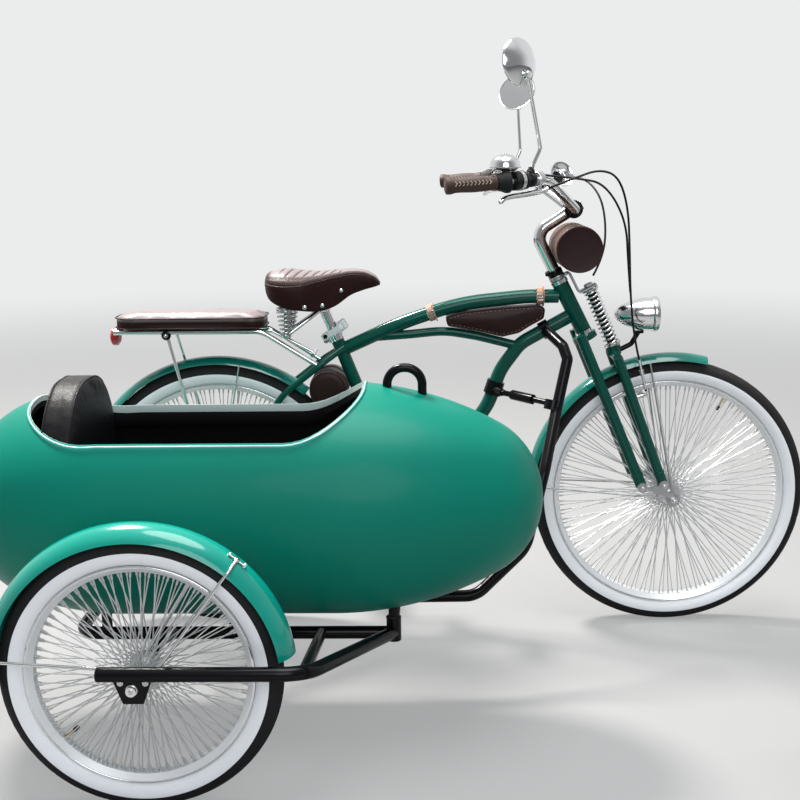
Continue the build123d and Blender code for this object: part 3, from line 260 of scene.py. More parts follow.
def prisms(near, far):
    """Many closed prisms at once, from their two end rings, each capped by fans."""
    count, sides = near.shape[:2]
    index = np.arange(count * 2 * sides).reshape(count, 2, sides)
    after = np.roll(index, -1, 2)
    quads = np.stack([index[:, 0], after[:, 0], after[:, 1], index[:, 1]], -1)
    fan = np.arange(1, sides - 1)
    low = np.stack([index[:, 0, :1] + 0 * fan, index[:, 0][:, fan + 1], index[:, 0][:, fan]], -1)
    high = np.stack([index[:, 1, :1] + 0 * fan, index[:, 1][:, fan], index[:, 1][:, fan + 1]], -1)
    return shape(np.stack([near, far], 1), quads,
                 np.concatenate([low.reshape(-1, 3), high.reshape(-1, 3)]))


def rods(starts, ends, radius, sides):
    """Many straight rods at once, each a circle at its start and at its end, capped by fans."""
    starts, ends = np.atleast_2d(starts).astype(float), np.atleast_2d(ends).astype(float)
    way = unit(ends - starts)
    across = unit(np.cross(way, np.where(np.abs(way[:, 1:2]) < 0.9, [[0, 1.0, 0]],
                                         [[1.0, 0, 0]])))
    other = np.cross(way, across)
    ring = circle(1.0, sides)
    offset = radius * (across[:, None] * ring[:, :1] + other[:, None] * ring[:, 1:])
    return prisms(starts[:, None] + offset, ends[:, None] + offset)


def rod(start, end, radius, sides):
    """One straight rod."""
    return rods([start], [end], radius, sides)


def block(centre, size, power, columns, rows, axes=((1, 0, 0), (0, 1, 0), (0, 0, 1))):
    """A rounded box: a sphere's coordinates raised to a power under one, scaled to the box."""
    around = np.linspace(0, 2 * math.pi, columns, endpoint=False)
    above = np.linspace(-math.pi / 2, math.pi / 2, rows + 2)[1:-1, None]

    def pushed(value):
        return np.sign(value) * np.abs(value) ** power

    points = np.stack([pushed(np.cos(above)) * pushed(np.cos(around)),
                       pushed(np.cos(above)) * pushed(np.sin(around)),
                       pushed(np.sin(above)) + 0 * around], -1) * np.asarray(size, float) / 2
    return moved(grid(points, False, True, True), axes, centre)


def hexagon_nut(place, way, across, height):
    """A six-sided nut with chamfered corners, its base at a place and its axis along way."""
    corner = across / math.sqrt(3)
    return lathed(place, way, [(corner * 0.86, 0), (corner, 1), (corner, height - 1.2),
                               (corner * 0.86, height)], 6)


def dome(place, way, radius, height):
    """A rivet or cap standing on a surface: a quarter ellipse turned about its axis."""
    angle = np.linspace(0, math.pi / 2, 6)[:-1]
    arc = [(radius * math.cos(a), height * math.sin(a)) for a in angle]
    return lathed(place, way, [(radius, -0.6)] + arc + [(0.2, height)], 14)


def doubled(outline):
    """Corners up to a middle one, then the same ones on to the far end."""
    length = 2 * outline[-1][1]
    return outline + [(r, length - h) for r, h in outline[-2::-1]]


def washer(inner, outer, thickness):
    """Corners of a flat ring."""
    return [(inner, 0), (outer, 0), (outer, thickness), (inner, thickness)]


def collar(bore, face, outer, rise, width):
    """Corners of a band whose two edges slope from face to outer over a rise."""
    return [(bore, 0), (face, 0), (outer, rise), (outer, width - rise), (face, width),
            (bore, width)]


def level(loop, height):
    """A plan's points at one height."""
    return np.column_stack([loop, np.full(len(loop), height)])


def placed(name, data):
    """A new object in the scene."""
    thing = bpy.data.objects.new(name, data)
    bpy.context.scene.collection.objects.link(thing)
    return thing


def add_piece(name, surfaces, body, material, replaces=None, also=(), parts=None):
    """Makes the mesh, turns its faces outwards, and lets it ride on a body.

    surfaces is one or a list of them. replaces names the node that the piece stands for. parts
    gives each face's material number, quads first, where there is more than one.
    """
    if isinstance(surfaces, list):
        surfaces = joined(*surfaces)
    points, quads, triangles = surfaces
    mesh = bpy.data.meshes.new(name)
    mesh.from_pydata((points * MM + ORIGIN).tolist(), [], quads.tolist() + triangles.tolist())
    for each in (material, *also):
        mesh.materials.append(each)
    if parts is not None:
        mesh.polygons.foreach_set("material_index", np.asarray(parts, np.int32))
    mesh.polygons.foreach_set("use_smooth", np.ones(len(mesh.polygons), bool))
    work = bmesh.new()
    work.from_mesh(mesh)
    bmesh.ops.recalc_face_normals(work, faces=work.faces)
    work.to_mesh(mesh)
    work.free()
    piece = placed(name, mesh)
    mesh.set_sharp_from_angle(angle=SHARP_ANGLE)
    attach(piece, body)
    if replaces:
        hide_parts(replaces)
    return piece


# Finishes
def tree_of(name):
    """A new material with its Principled shader, as (material, nodes, links, shader)."""
    material = bpy.data.materials.new(name)
    material.use_nodes = True
    tree = material.node_tree
    return material, tree.nodes, tree.links, tree.nodes["Principled BSDF"]


def feed(tree, socket, value):
    """Sets a socket to a number or a colour, or links an output to it."""
    if isinstance(value, tuple):
        socket.default_value = (*value, 1)
    elif isinstance(value, (int, float)):
        socket.default_value = value
    else:
        tree.links.new(value, socket)


def set_sockets(node, values):
    """Sets a node's inputs by name, underscores standing for spaces."""
    for label, value in values.items():
        feed(None, node.inputs[label.replace("_", " ")], value)


def new_group(name, inputs, outputs):
    """An empty shader group; inputs are (name, kind, value) rows, outputs (name, kind)."""
    group = bpy.data.node_groups.new(name, "ShaderNodeTree")
    for label, kind, value in inputs:
        socket = group.interface.new_socket(label, in_out="INPUT", socket_type="NodeSocket" + kind)
        socket.default_value = value
    for label, kind in outputs:
        group.interface.new_socket(label, in_out="OUTPUT", socket_type="NodeSocket" + kind)
    return group, group.nodes.new("NodeGroupInput"), group.nodes.new("NodeGroupOutput")


def maths(tree, operation, *values):
    """A Math node fed with sockets or numbers; gives its output."""
    node = tree.nodes.new("ShaderNodeMath")
    node.operation = operation
    for socket, value in zip(node.inputs, values):
        feed(tree, socket, value)
    return node.outputs[0]


def noise(tree, scale, detail, coordinates):
    """A Noise texture's share, 0 to 1."""
    node = tree.nodes.new("ShaderNodeTexNoise")
    for label, value in (("Scale", scale), ("Detail", detail), ("Vector", coordinates)):
        feed(tree, node.inputs[label], value)
    return node.outputs["Fac"]


def mixed(tree, share, first, second):
    """A blend of two colours."""
    node = tree.nodes.new("ShaderNodeMix")
    node.data_type = "RGBA"
    for name, kind, value in (("Factor", "VALUE", share), ("A", "RGBA", first),
                              ("B", "RGBA", second)):
        feed(tree, next(s for s in node.inputs if s.name == name and s.type == kind), value)
    return next(s for s in node.outputs if s.type == "RGBA")


def mapped(tree, value, low, high, least=0.0, most=1.0, kind="SMOOTHSTEP"):
    """A value carried from the range low to high onto least to most."""
    node = tree.nodes.new("ShaderNodeMapRange")
    node.interpolation_type = kind
    for label, number in (("From Min", low), ("From Max", high), ("To Min", least),
                          ("To Max", most), ("Value", value)):
        feed(tree, node.inputs[label], number)
    return node.outputs["Result"]


def bumped(nodes, links, shader, height, strength, depth):
    """Raises a shader's surface by a height."""
    bumps = nodes.new("ShaderNodeBump")
    set_sockets(bumps, {"Strength": strength, "Distance": depth})
    links.new(height, bumps.inputs["Height"])
    links.new(bumps.outputs["Normal"], shader.inputs["Normal"])


def make_wear_group():
    """Colour drifting between two tones in soft clouds, fine scuffs in roughness, dust on top."""
    group, ins, outs = new_group("wear", [
        ("Tone A", "Color", (0.5, 0.5, 0.5, 1)), ("Tone B", "Color", (0.4, 0.4, 0.4, 1)),
        ("Cloud scale", "Float", 6.0), ("Scuff scale", "Float", 60.0),
        ("Roughness", "Float", 0.4), ("Roughness change", "Float", 0.1), ("Dust", "Float", 0.05),
    ], [("Colour", "Color"), ("Roughness", "Float"), ("Scuffs", "Float")])
    place = group.nodes.new("ShaderNodeTexCoord")
    clouds = noise(group, ins.outputs["Cloud scale"], 3.0, place.outputs["Object"])
    scuffs = noise(group, ins.outputs["Scuff scale"], 6.0, place.outputs["Object"])
    parts = group.nodes.new("ShaderNodeSeparateXYZ")
    group.links.new(place.outputs["Normal"], parts.inputs[0])
    upward = maths(group, "MAXIMUM", parts.outputs["Z"], 0.0)
    dust = maths(group, "MULTIPLY", maths(group, "MULTIPLY", upward, ins.outputs["Dust"]),
                 maths(group, "MULTIPLY", scuffs, 2.0))
    tone = mixed(group, clouds, ins.outputs["Tone A"], ins.outputs["Tone B"])
    change = maths(group, "MULTIPLY", maths(group, "SUBTRACT", scuffs, 0.5),
                   ins.outputs["Roughness change"])
    rough = maths(group, "ADD", maths(group, "ADD", ins.outputs["Roughness"], change), dust)
    for label, value in (("Colour", mixed(group, dust, tone, (0.55, 0.52, 0.46))),
                         ("Roughness", rough), ("Scuffs", scuffs)):
        group.links.new(value, outs.inputs[label])
    return group


def make_grain_group():
    """Leather grain: pebbles from the distance to Voronoi cell edges, over slow creases."""
    group, ins, outs = new_group("grain", [
        ("Scale", "Float", 400.0), ("Creases", "Float", 0.4),
    ], [("Height", "Float")])
    place = group.nodes.new("ShaderNodeTexCoord")
    cells = group.nodes.new("ShaderNodeTexVoronoi")
    cells.feature = "DISTANCE_TO_EDGE"
    group.links.new(place.outputs["Object"], cells.inputs["Vector"])
    group.links.new(ins.outputs["Scale"], cells.inputs["Scale"])
    pebble = maths(group, "MINIMUM", maths(group, "MULTIPLY", cells.outputs["Distance"], 3.0), 1.0)
    crease = noise(group, maths(group, "MULTIPLY", ins.outputs["Scale"], 0.12), 4.0,
                   place.outputs["Object"])
    height = maths(group, "ADD", pebble, maths(group, "MULTIPLY", crease, ins.outputs["Creases"]))
    group.links.new(height, outs.inputs["Height"])
    return group


WEAR = make_wear_group()
GRAIN = make_grain_group()


def place_group(nodes, group, **values):
    """A group's node with its inputs set."""
    node = nodes.new("ShaderNodeGroup")
    node.node_tree = group
    set_sockets(node, values)
    return node


def finish(name, tone, other=None, roughness=0.4, change=0.12, dust=0.05, clouds=6.0, scuffs=60.0,
           bump=0.0, bump_depth=0.0004, grain=0.0, creases=0.4, **constants):
    """A finish: worn colour and roughness, with scuff bumps or leather grain.

    constants go on the Principled shader's own sockets, underscores standing for spaces.
    """
    material, nodes, links, shader = tree_of(name)
    other = other or tuple(0.82 * c for c in tone)
    wear = place_group(nodes, WEAR, Tone_A=tone, Tone_B=other, Cloud_scale=clouds,
                       Scuff_scale=scuffs, Roughness=roughness, Roughness_change=change, Dust=dust)
    links.new(wear.outputs["Colour"], shader.inputs["Base Color"])
    links.new(wear.outputs["Roughness"], shader.inputs["Roughness"])
    if grain:
        pebbles = place_group(nodes, GRAIN, Scale=grain, Creases=creases)
        bumped(nodes, links, shader, pebbles.outputs["Height"], bump, bump_depth)
    elif bump:
        bumped(nodes, links, shader, wear.outputs["Scuffs"], bump, bump_depth)
    shader.inputs["Specular IOR Level"].default_value = 0.2
    set_sockets(shader, constants)
    return material


def enamel(name, tone, roughness, coat, shine=0.2):
    """Sprayed enamel: a faint cloudiness, a little orange peel and a clear coat."""
    return finish(name, tone, roughness=roughness, change=0.1, dust=0.0, clouds=4.0,
                  scuffs=240.0, bump=0.08, bump_depth=0.0002, Coat_Weight=coat,
                  Coat_Roughness=0.06, Specular_IOR_Level=shine)


def plated(name, tone=(0.78, 0.79, 0.8), roughness=0.1, change=0.12):
    """Polished plating with smudges that show in its gloss."""
    return finish(name, tone, tuple(0.9 * c for c in tone), roughness, change, dust=0.03,
                  clouds=18.0, scuffs=45.0, Metallic=1.0)


def metal_with_painted_reflection(name, tone, other, roughness, change, metallic, coat=0.0):
    """Silver metal, only partly metallic; its pale own tone is painted reflection where little
    light falls.
    """
    return finish(name, tone, other, roughness, change, dust=0.0, Metallic=metallic,
                  Coat_Weight=coat)


BODY_GREEN = enamel("body_green", (0.001, 0.185, 0.132), 0.42, 0.04, 0.12)
# A darker paint than the body, lowered further as painted shade for the backlit frame
FRAME_PAINTED_SHADE_GREEN = enamel("frame_painted_shade_green", (0.001, 0.066, 0.048), 0.2, 0.34, 0.1)
# The body's green made brighter for the lit upper faces: painted light
SIDECAR_PAINTED_LIGHT_GREEN = enamel("sidecar_painted_light_green", (0.002, 0.28, 0.215), 0.2, 0.6)
# The body's green made darker for the fenders' shaded sides: painted shade
BIKE_FENDER_PAINTED_SHADE_GREEN = enamel("bike_fender_painted_shade_green", (0.001, 0.15, 0.115), 0.18, 0.6)
BLACK_ENAMEL = enamel("black_enamel", (0.003, 0.003, 0.004), 0.24, 0.12, 0.1)
# Green lip made pale to stand in for light reflected on it: painted reflection
EDGE_PAINTED_REFLECTION_GREEN = enamel("edge_painted_reflection_green", (0.62, 0.76, 0.73), 0.25, 0.4)
CHROME = plated("chrome")
SATIN_METAL = plated("satin_metal", (0.62, 0.63, 0.64), 0.28, 0.2)
# Spokes, rims and cast alloy: silver metal with a pale diffuse tone as painted reflection
WIRE_METAL = metal_with_painted_reflection("spoke_wire", (0.62, 0.63, 0.64), (0.54, 0.55, 0.56), 0.3, 0.1, 0.45)
RIM_METAL = metal_with_painted_reflection("rim_silver", (0.80, 0.82, 0.84), (0.74, 0.76, 0.78), 0.32, 0.1, 0.3, 0.3)
ALLOY = metal_with_painted_reflection("cast_alloy", (0.72, 0.74, 0.75), (0.64, 0.66, 0.67), 0.36, 0.15, 0.25)
LINK_METAL = plated("link_steel", (0.42, 0.43, 0.44), 0.4, 0.2)
CHAIN_METAL = plated("chain_metal", (0.36, 0.34, 0.31), 0.38, 0.25)
BRASS = plated("brass", (0.75, 0.55, 0.30), 0.24)
MIRROR_GLASS = plated("mirror_glass", (0.86, 0.88, 0.9), 0.02, 0.01)
RUBBER = finish("tyre_rubber", (0.008, 0.008, 0.010), (0.014, 0.014, 0.015), 0.72, dust=0.03,
                clouds=14.0, scuffs=300.0, bump=0.25, bump_depth=0.0003)
WHITE_WALL = finish("white_wall", (0.86, 0.88, 0.91), (0.80, 0.83, 0.87), 0.55, clouds=9.0,
                    scuffs=200.0, bump=0.1, bump_depth=0.0002)
BLACK_RUBBER = finish("black_rubber", (0.008, 0.008, 0.009), roughness=0.6, scuffs=220.0,
                      bump=0.2, bump_depth=0.0003)
BLACK_PLASTIC = finish("black_plastic", (0.007, 0.007, 0.008), roughness=0.38, scuffs=320.0,
                       bump=0.15, bump_depth=0.0002)
INNER_BLACK = finish("inner_black", (0.004, 0.004, 0.005), roughness=0.6, scuffs=260.0, bump=0.3)
# Black for discs that stand in for the shade inside holes and throats: painted shade
PAINTED_SHADE_BLACK = finish("painted_shade_black", (0.004, 0.004, 0.004), roughness=0.8)
CARPET = finish("floor_mat", (0.018, 0.018, 0.019), roughness=0.9, dust=0.12, scuffs=700.0,
                bump=0.8, bump_depth=0.0015)
MAROON = finish("maroon_leather", (0.024, 0.006, 0.007), (0.014, 0.0035, 0.004), 0.36, 0.22,
                dust=0.02, clouds=12.0, scuffs=80.0, grain=420.0, bump=0.32,
                bump_depth=0.0005)
GRIP_LEATHER = finish("grip_leather", (0.058, 0.034, 0.028), (0.036, 0.020, 0.016), 0.4, 0.2,
                      clouds=20.0, grain=480.0, bump=0.3)
STRAP_LEATHER = finish("strap_leather", (0.42, 0.25, 0.17), (0.30, 0.16, 0.11), 0.5,
                       clouds=30.0, grain=500.0, bump=0.3)
STRAP_DARK = finish("dark_strap", (0.040, 0.012, 0.011), roughness=0.42, grain=500.0, bump=0.3)
BAND_LEATHER = finish("band_leather", (0.30, 0.20, 0.17), (0.20, 0.12, 0.10), 0.45,
                      grain=500.0, bump=0.3)
VINYL = finish("black_vinyl", (0.003, 0.003, 0.005), (0.006, 0.006, 0.008), 0.36, 0.16,
               dust=0.03, clouds=7.0, grain=330.0, creases=0.9, bump=0.3, bump_depth=0.0006,
               Specular_IOR_Level=0.09)
PIPING = finish("piping", (0.52, 0.45, 0.36), (0.42, 0.35, 0.27), 0.5, clouds=40.0,
                scuffs=400.0, bump=0.2, bump_depth=0.0002)
PIPING_DARK = finish("dark_piping", (0.020, 0.006, 0.006), scuffs=300.0, bump=0.2)
THREAD = finish("thread", (0.30, 0.20, 0.14), roughness=0.7, scuffs=500.0, bump=0.3)
RED_LENS = finish("red_lens", (0.42, 0.008, 0.008), roughness=0.12, Coat_Weight=0.8)
AMBER = finish("amber_lens", (0.55, 0.16, 0.01), roughness=0.15, Coat_Weight=0.7)


def leather_with_painted_highlight(name, mask_of):
    """Maroon leather with a paler painted highlight, glossier there; mask_of(tree) gives its
    share.
    """
    material, nodes, links, shader = tree_of(name)
    sides = place_group(nodes, WEAR, Tone_A=(0.026, 0.005, 0.006), Tone_B=(0.015, 0.003, 0.004),
                        Cloud_scale=12.0, Scuff_scale=80.0, Roughness=0.34, Roughness_change=0.2)
    # Paler tones that stand in for light on the top: painted highlight
    top = place_group(nodes, WEAR, Tone_A=(0.19, 0.155, 0.16), Tone_B=(0.13, 0.10, 0.105),
                      Cloud_scale=9.0, Scuff_scale=90.0, Roughness=0.4, Roughness_change=0.2)
    share = mask_of(material.node_tree)
    links.new(mixed(material.node_tree, share, sides.outputs["Colour"], top.outputs["Colour"]),
              shader.inputs["Base Color"])
    links.new(top.outputs["Roughness"], shader.inputs["Roughness"])
    links.new(maths(material.node_tree, "MULTIPLY", share, 0.9), shader.inputs["Coat Weight"])
    set_sockets(shader, {"Coat Roughness": 0.32, "Specular IOR Level": 0.16})
    pebbles = place_group(nodes, GRAIN, Scale=420.0, Creases=0.5)
    bumped(nodes, links, shader, pebbles.outputs["Height"], 0.35, 0.0005)
    return material


def painted_highlight_by_height(tree):
    """Painted highlight share: 0 on a pad's sides, 1 on its top, in metres above the floor."""
    place, parts = tree.nodes.new("ShaderNodeTexCoord"), tree.nodes.new("ShaderNodeSeparateXYZ")
    tree.links.new(place.outputs["Object"], parts.inputs[0])
    return mapped(tree, parts.outputs["Z"], 0.776, 0.785, kind="LINEAR")


def painted_highlight_by_attribute(tree):
    """The saddle's painted highlight share, held by its points."""
    painted_highlight = tree.nodes.new("ShaderNodeAttribute")
    painted_highlight.attribute_name = "painted_highlight"
    return painted_highlight.outputs["Fac"]


def make_lens_glass():
    """Clear glass with upright flutes."""
    material, nodes, links, shader = tree_of("lens_glass")
    set_sockets(shader, {"Base Color": (0.93, 0.96, 0.97), "Roughness": 0.05,
                         "Transmission Weight": 0.85, "IOR": 1.35})
    place, flutes = nodes.new("ShaderNodeTexCoord"), nodes.new("ShaderNodeTexWave")
    flutes.bands_direction = "Y"
    flutes.inputs["Scale"].default_value = 55.0
    links.new(place.outputs["Object"], flutes.inputs["Vector"])
    bumped(nodes, links, shader, flutes.outputs["Fac"], 0.5, 0.0015)
    return material


# The pale tops of the rack pad and the saddle are painted highlight
RACK_LEATHER = leather_with_painted_highlight("rack_leather", painted_highlight_by_height)
SADDLE_LEATHER = leather_with_painted_highlight("saddle_leather", painted_highlight_by_attribute)
LENS_GLASS = make_lens_glass()

# The finish of each node that is carried over
DRESS = (
    (BODY_GREEN, "sidecar_body"), (FRAME_PAINTED_SHADE_GREEN, "frame fork_rear fork_front"),
    (BIKE_FENDER_PAINTED_SHADE_GREEN, "rear_fender front_fender"), (SIDECAR_PAINTED_LIGHT_GREEN, "sidecar_fender cockpit_trim"),
    (BLACK_ENAMEL, "sidecar_chassis head_stay sidecar_struts grab_handle headlamp_bracket"),
    (CHROME, "headset_cups seat_post saddle_frame rear_rack stem handlebar mirrors front_brake"
             " brake_levers crankset rear_fender_stays sidecar_fender_stays bell horn headlamp"
             " fork_spring front_axle rear_axle sidecar_axle front_spokes rear_spokes"
             " sidecar_spokes"),
    (RIM_METAL, "front_rim rear_rim sidecar_rim"), (LINK_METAL, "fork_links"),
    (CHAIN_METAL, "chain"), (RUBBER, "front_tyre rear_tyre sidecar_tyre"),
    (BLACK_RUBBER, "body_mounts right_pedal left_pedal"),
    (BLACK_PLASTIC, "control_housings cables"), (CARPET, "sidecar_floor"),
    (MAROON, "saddle rack_pad frame_bag tool_roll roll_bag"), (GRIP_LEATHER, "grips"),
    (STRAP_LEATHER, "bag_straps"), (VINYL, "sidecar_seat sidecar_backrest"),
    (RED_LENS, "tail_reflector"))
for carried_finish, carried in DRESS:
    for carried_node in carried.split():
        for material_slot in NODES[carried_node].material_slots:
            material_slot.material = carried_finish


# Wheels
GROOVES = (0.17, 0.45, 0.68)    # radians from the tread's middle
GROOVE_WIDTH = 0.035
GROOVE_DEPTH = 1.2
CUT_DEPTH = 0.7
BAND_PROUD = 0.5


def make_tyre(name, radius, body):
    """A circle with three bell-shaped grooves, and a pale band that stands proud of it.

    The tread is cut where a cosine of the angle round the wheel is high, and the cuts slant with
    the distance from the tread's middle.
    """
    end = math.acos((TYRE_R - RIM_EDGE_DEPTH) / TYRE_R) - 0.015
    turn = np.linspace(-end, end, 64)
    depth = TYRE_R * (1 - np.cos(turn))
    pale = (depth > WHITE_BAND_DEPTH) & (depth < RIM_EDGE_DEPTH - 0.6)
    groove = sum(np.exp(-((np.abs(turn) - at) / GROOVE_WIDTH) ** 2) for at in GROOVES)
    reach = TYRE_R - 0.1 + BAND_PROUD * pale - GROOVE_DEPTH * groove
    section = np.stack([radius - TYRE_R + reach * np.cos(turn), reach * np.sin(turn)], -1)
    cuts, around = int(2 * math.pi * radius / TREAD_PITCH), 420

    def wave(angle, section):
        slant = np.abs(section[:, 1]) * 0.09
        on_tread = np.clip((section[:, 0] - (radius - 8)) / 3, 0, 1)
        return -CUT_DEPTH * on_tread * (np.cos(angle * cuts + slant * 6) > 0.82)

    parts = np.tile(np.append(pale[:-1] & pale[1:], False), around)
    add_piece(name + "_tyre_skin", ring_about_y(HUBS[name], section, around, wave), body, RUBBER,
              name + "_tyre", also=(WHITE_WALL,), parts=parts)


def make_spokes(name, radius, half, body):
    """A turned hub and crossing wire spokes that leave each flange almost along its edge.

    Each wire ends on the rim a fixed lead before or after the angle where it starts.
    """
    hub = HUBS[name]
    barrel = doubled([(5.4, 0), (9, 0), (11, 1), (14, 2), (FLANGE_R, 2.4), (FLANGE_R, 4.6),
                      (17, 6.5), (12, 12), (11, half)])
    add_piece(name + "_hub", lathed(hub - LEFT * half, LEFT, barrel, 64), body, SATIN_METAL)
    each, near, far = SPOKES // 2, FLANGE_R - 2.5, radius - RIM_INNER_DEPTH
    number = np.arange(each)
    starts, ends = [], []
    for side in (-1, 1):
        begin = number * 2 * math.pi / each + (side > 0) * math.pi / each
        lead = np.where(number % 2, 1, -1)
        last = begin + lead * SPOKE_LEAD
        face = side * (half - 3.5 + lead * 1.6)
        starts.append(np.stack([near * np.cos(begin), face, near * np.sin(begin)], -1) + hub)
        ends.append(np.stack([far * np.cos(last), side * 3.5 + 0 * last, far * np.sin(last)], -1)
                    + hub)
    starts, ends = np.concatenate(starts), np.concatenate(ends)
    way = unit(ends - starts)
    add_piece(name + "_spoke_wires", [rods(starts, ends, SPOKE_R, 6),
                                      rods(ends - way * 11, ends + way * 1.5, 2.1, 6),
                                      rods(starts - way * 1.5, starts + way * 1.5, 1.9, 6)],
              body, WIRE_METAL, name + "_spokes")


def make_valve(name, radius, angle, body):
    """A brass stem with a black cap, pointing to the hub."""
    turn = math.radians(angle)
    way = np.array([math.cos(turn), 0, math.sin(turn)])
    foot = HUBS[name] + way * (radius - RIM_INNER_DEPTH + 1)
    stem = lathed(foot, -way, [(4.5, 0), (4.5, 3), (3.1, 5), (3.1, 24)], 20)
    cap = lathed(foot - way * 23, -way, [(3.9, 0), (4.1, 2), (3.6, 10), (2, 12)], 20)
    add_piece(name + "_valve_stem", stem, body, BRASS)
    add_piece(name + "_valve_cap", cap, body, BLACK_RUBBER)


def make_rim_lips(name, radius, body):
    """Rolled lips where the tyre sits."""
    edge = radius - RIM_EDGE_DEPTH
    lips = [ring_about_y(HUBS[name], circle(2.0, 12) + [edge - 0.5, side * (RIM_HALF - 1.2)], 180)
            for side in (-1, 1)]
    add_piece(name + "_rim_lips", lips, body, CHROME)


for wheel, wheel_r, hub_half, valve_angle in (
        ("front", BIKE_WHEEL_R, 34, 61), ("rear", BIKE_WHEEL_R, 36, 20),
        ("sidecar", SIDE_WHEEL_R, 34, 221)):
    wheel_body = wheel + "_wheel"
    make_tyre(wheel, wheel_r, wheel_body)
    make_spokes(wheel, wheel_r, hub_half, wheel_body)
    make_valve(wheel, wheel_r, valve_angle, wheel_body)
    make_rim_lips(wheel, wheel_r, wheel_body)


# Loops, pads and cloth
def even(path, spacing):
    """A closed path sampled at even steps of its length."""
    lengths = np.append(0, np.cumsum(np.linalg.norm(np.diff(path, axis=0), axis=1)))
    count = max(12, int(lengths[-1] / spacing))
    at = np.linspace(0, lengths[-1], count, endpoint=False)
    return np.stack([np.interp(at, lengths, path[:, axis]) for axis in range(path.shape[1])], -1)


def rounded_loop(corners, bends, spacing):
    """A closed outline of straight runs and tangent arcs in a plane, sampled evenly."""
    corners = [np.append(np.asarray(c, float), 0.0) for c in corners]
    start = (corners[0] + corners[1]) / 2
    order = corners[1:] + corners[:1]
    return even(rounded([start, *order, start], bends[1:] + bends[:1])[:, :2], spacing)


def oblong(back, front, half, bends, spacing):
    """A rounded oblong in plan, from its two ends and half its width."""
    corners = [(back, -half), (front, -half), (front, half), (back, half)]
    return rounded_loop(corners, bends, spacing)


def outward(loop):
    """Unit normals of a closed plane loop, pointing away from its middle."""
    step = np.roll(loop, -1, 0) - np.roll(loop, 1, 0)
    normal = unit(np.stack([step[:, 1], -step[:, 0]], -1))
    area = np.sum(loop[:, 0] * np.roll(loop[:, 1], -1) - np.roll(loop[:, 0], -1) * loop[:, 1])
    return normal * np.sign(area)


def pillow(loop, depth, corner, crown, under, axes, offset):
    """A closed pad: the loop's face crowned by (1 - share squared), its edges quarter circles.

    crown and under are the rise of the two faces. axes says where across, along and thickness
    lie.
    """
    normal, middle = outward(loop), loop.mean(0)
    inner, rings = loop - normal * corner, 9
    rows = []
    for share in np.linspace(0.06, 1, rings):
        rows.append(level(middle + (inner - middle) * share, depth / 2 + crown * (1 - share ** 2)))
    for angle in np.linspace(0, math.pi / 2, 5)[1:]:
        rows.append(level(loop - normal * corner * (1 - math.sin(angle)),
                          depth / 2 - corner * (1 - math.cos(angle))))
    lower = [row * [1, 1, -1] for row in rows[::-1]]
    for row, share in zip(lower[-rings:], np.linspace(1, 0.06, rings)):
        row[:, 2] = -depth / 2 - under * (1 - share ** 2)
    return moved(grid(np.array(rows + lower), False, True, True), np.transpose(axes), offset)


CLOTH_FRAMES = 20
CLOTH_STIFFNESS = 18
CLOTH_PRESSURE = 4.0


def evaluated_points(piece):
    """The places of a piece's points after its modifiers."""
    solid = piece.evaluated_get(bpy.context.evaluated_depsgraph_get())
    points = np.empty(len(solid.data.vertices) * 3)
    solid.data.vertices.foreach_get("co", points)
    return points.reshape(-1, 3)


def remesh(piece, voxel):
    """Replaces the mesh by its voxel remesh."""
    change = piece.modifiers.new("voxels", "REMESH")
    change.mode, change.voxel_size, change.use_smooth_shade = "VOXEL", voxel * MM, True
    graph = bpy.context.evaluated_depsgraph_get()
    mesh = bpy.data.meshes.new_from_object(piece.evaluated_get(graph))
    materials = list(piece.data.materials)
    piece.modifiers.clear()
    piece.data = mesh
    mesh.materials.clear()
    for material in materials:
        mesh.materials.append(material)
    mesh.polygons.foreach_set("material_index", np.zeros(len(mesh.polygons), np.int32))
    mesh.polygons.foreach_set("use_smooth", np.ones(len(mesh.polygons), bool))


def inflate(piece, cap, soften, voxel):
    """Blows the pad up as cloth, then holds each point to at most cap mm from where it began.

    soften(points in mm) gives each point's share of the movement, for faces that rest on wood.
    """
    remesh(piece, voxel)
    first = evaluated_points(piece)
    cloth = piece.modifiers.new("cloth", "CLOTH")
    cloth.settings.quality = 4
    cloth.settings.mass = 0.2
    cloth.settings.tension_stiffness = CLOTH_STIFFNESS
    cloth.settings.compression_stiffness = CLOTH_STIFFNESS
    cloth.settings.use_pressure = True
    cloth.settings.uniform_pressure_force = CLOTH_PRESSURE
    cloth.settings.effector_weights.gravity = 0
    cloth.collision_settings.use_collision = False
    scene = bpy.context.scene
    for frame_number in range(1, CLOTH_FRAMES + 1):
        scene.frame_set(frame_number)
    last = evaluated_points(piece)
    piece.modifiers.clear()
    scene.frame_set(1)
    way = last - first
    far = np.linalg.norm(way, axis=1)[:, None]
    way *= np.minimum(1, cap * MM / np.maximum(far, 1e-9))
    way *= soften((first - ORIGIN) / MM)[:, None]
    piece.data.vertices.foreach_set("co", (first + way).ravel())
    piece.data.update()
    smoother = piece.modifiers.new("round", "SUBSURF")
    smoother.levels = smoother.render_levels = 1


def steps(value, low, high):
    """0 below low, 1 above high, and a smooth rise between."""
    share = np.clip((value - low) / (high - low), 0, 1)
    return share * share * (3 - 2 * share)


def make_cushion(name, pad, material, node, cap, free, voxel=5.0):
    """A pad blown up as cloth, which comes free of its base between the two heights of free."""
    piece = add_piece(name, pad, "frame", material)
    inflate(piece, cap, lambda points: steps(points[:, 2], *free), voxel)
    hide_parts(node)
    return piece


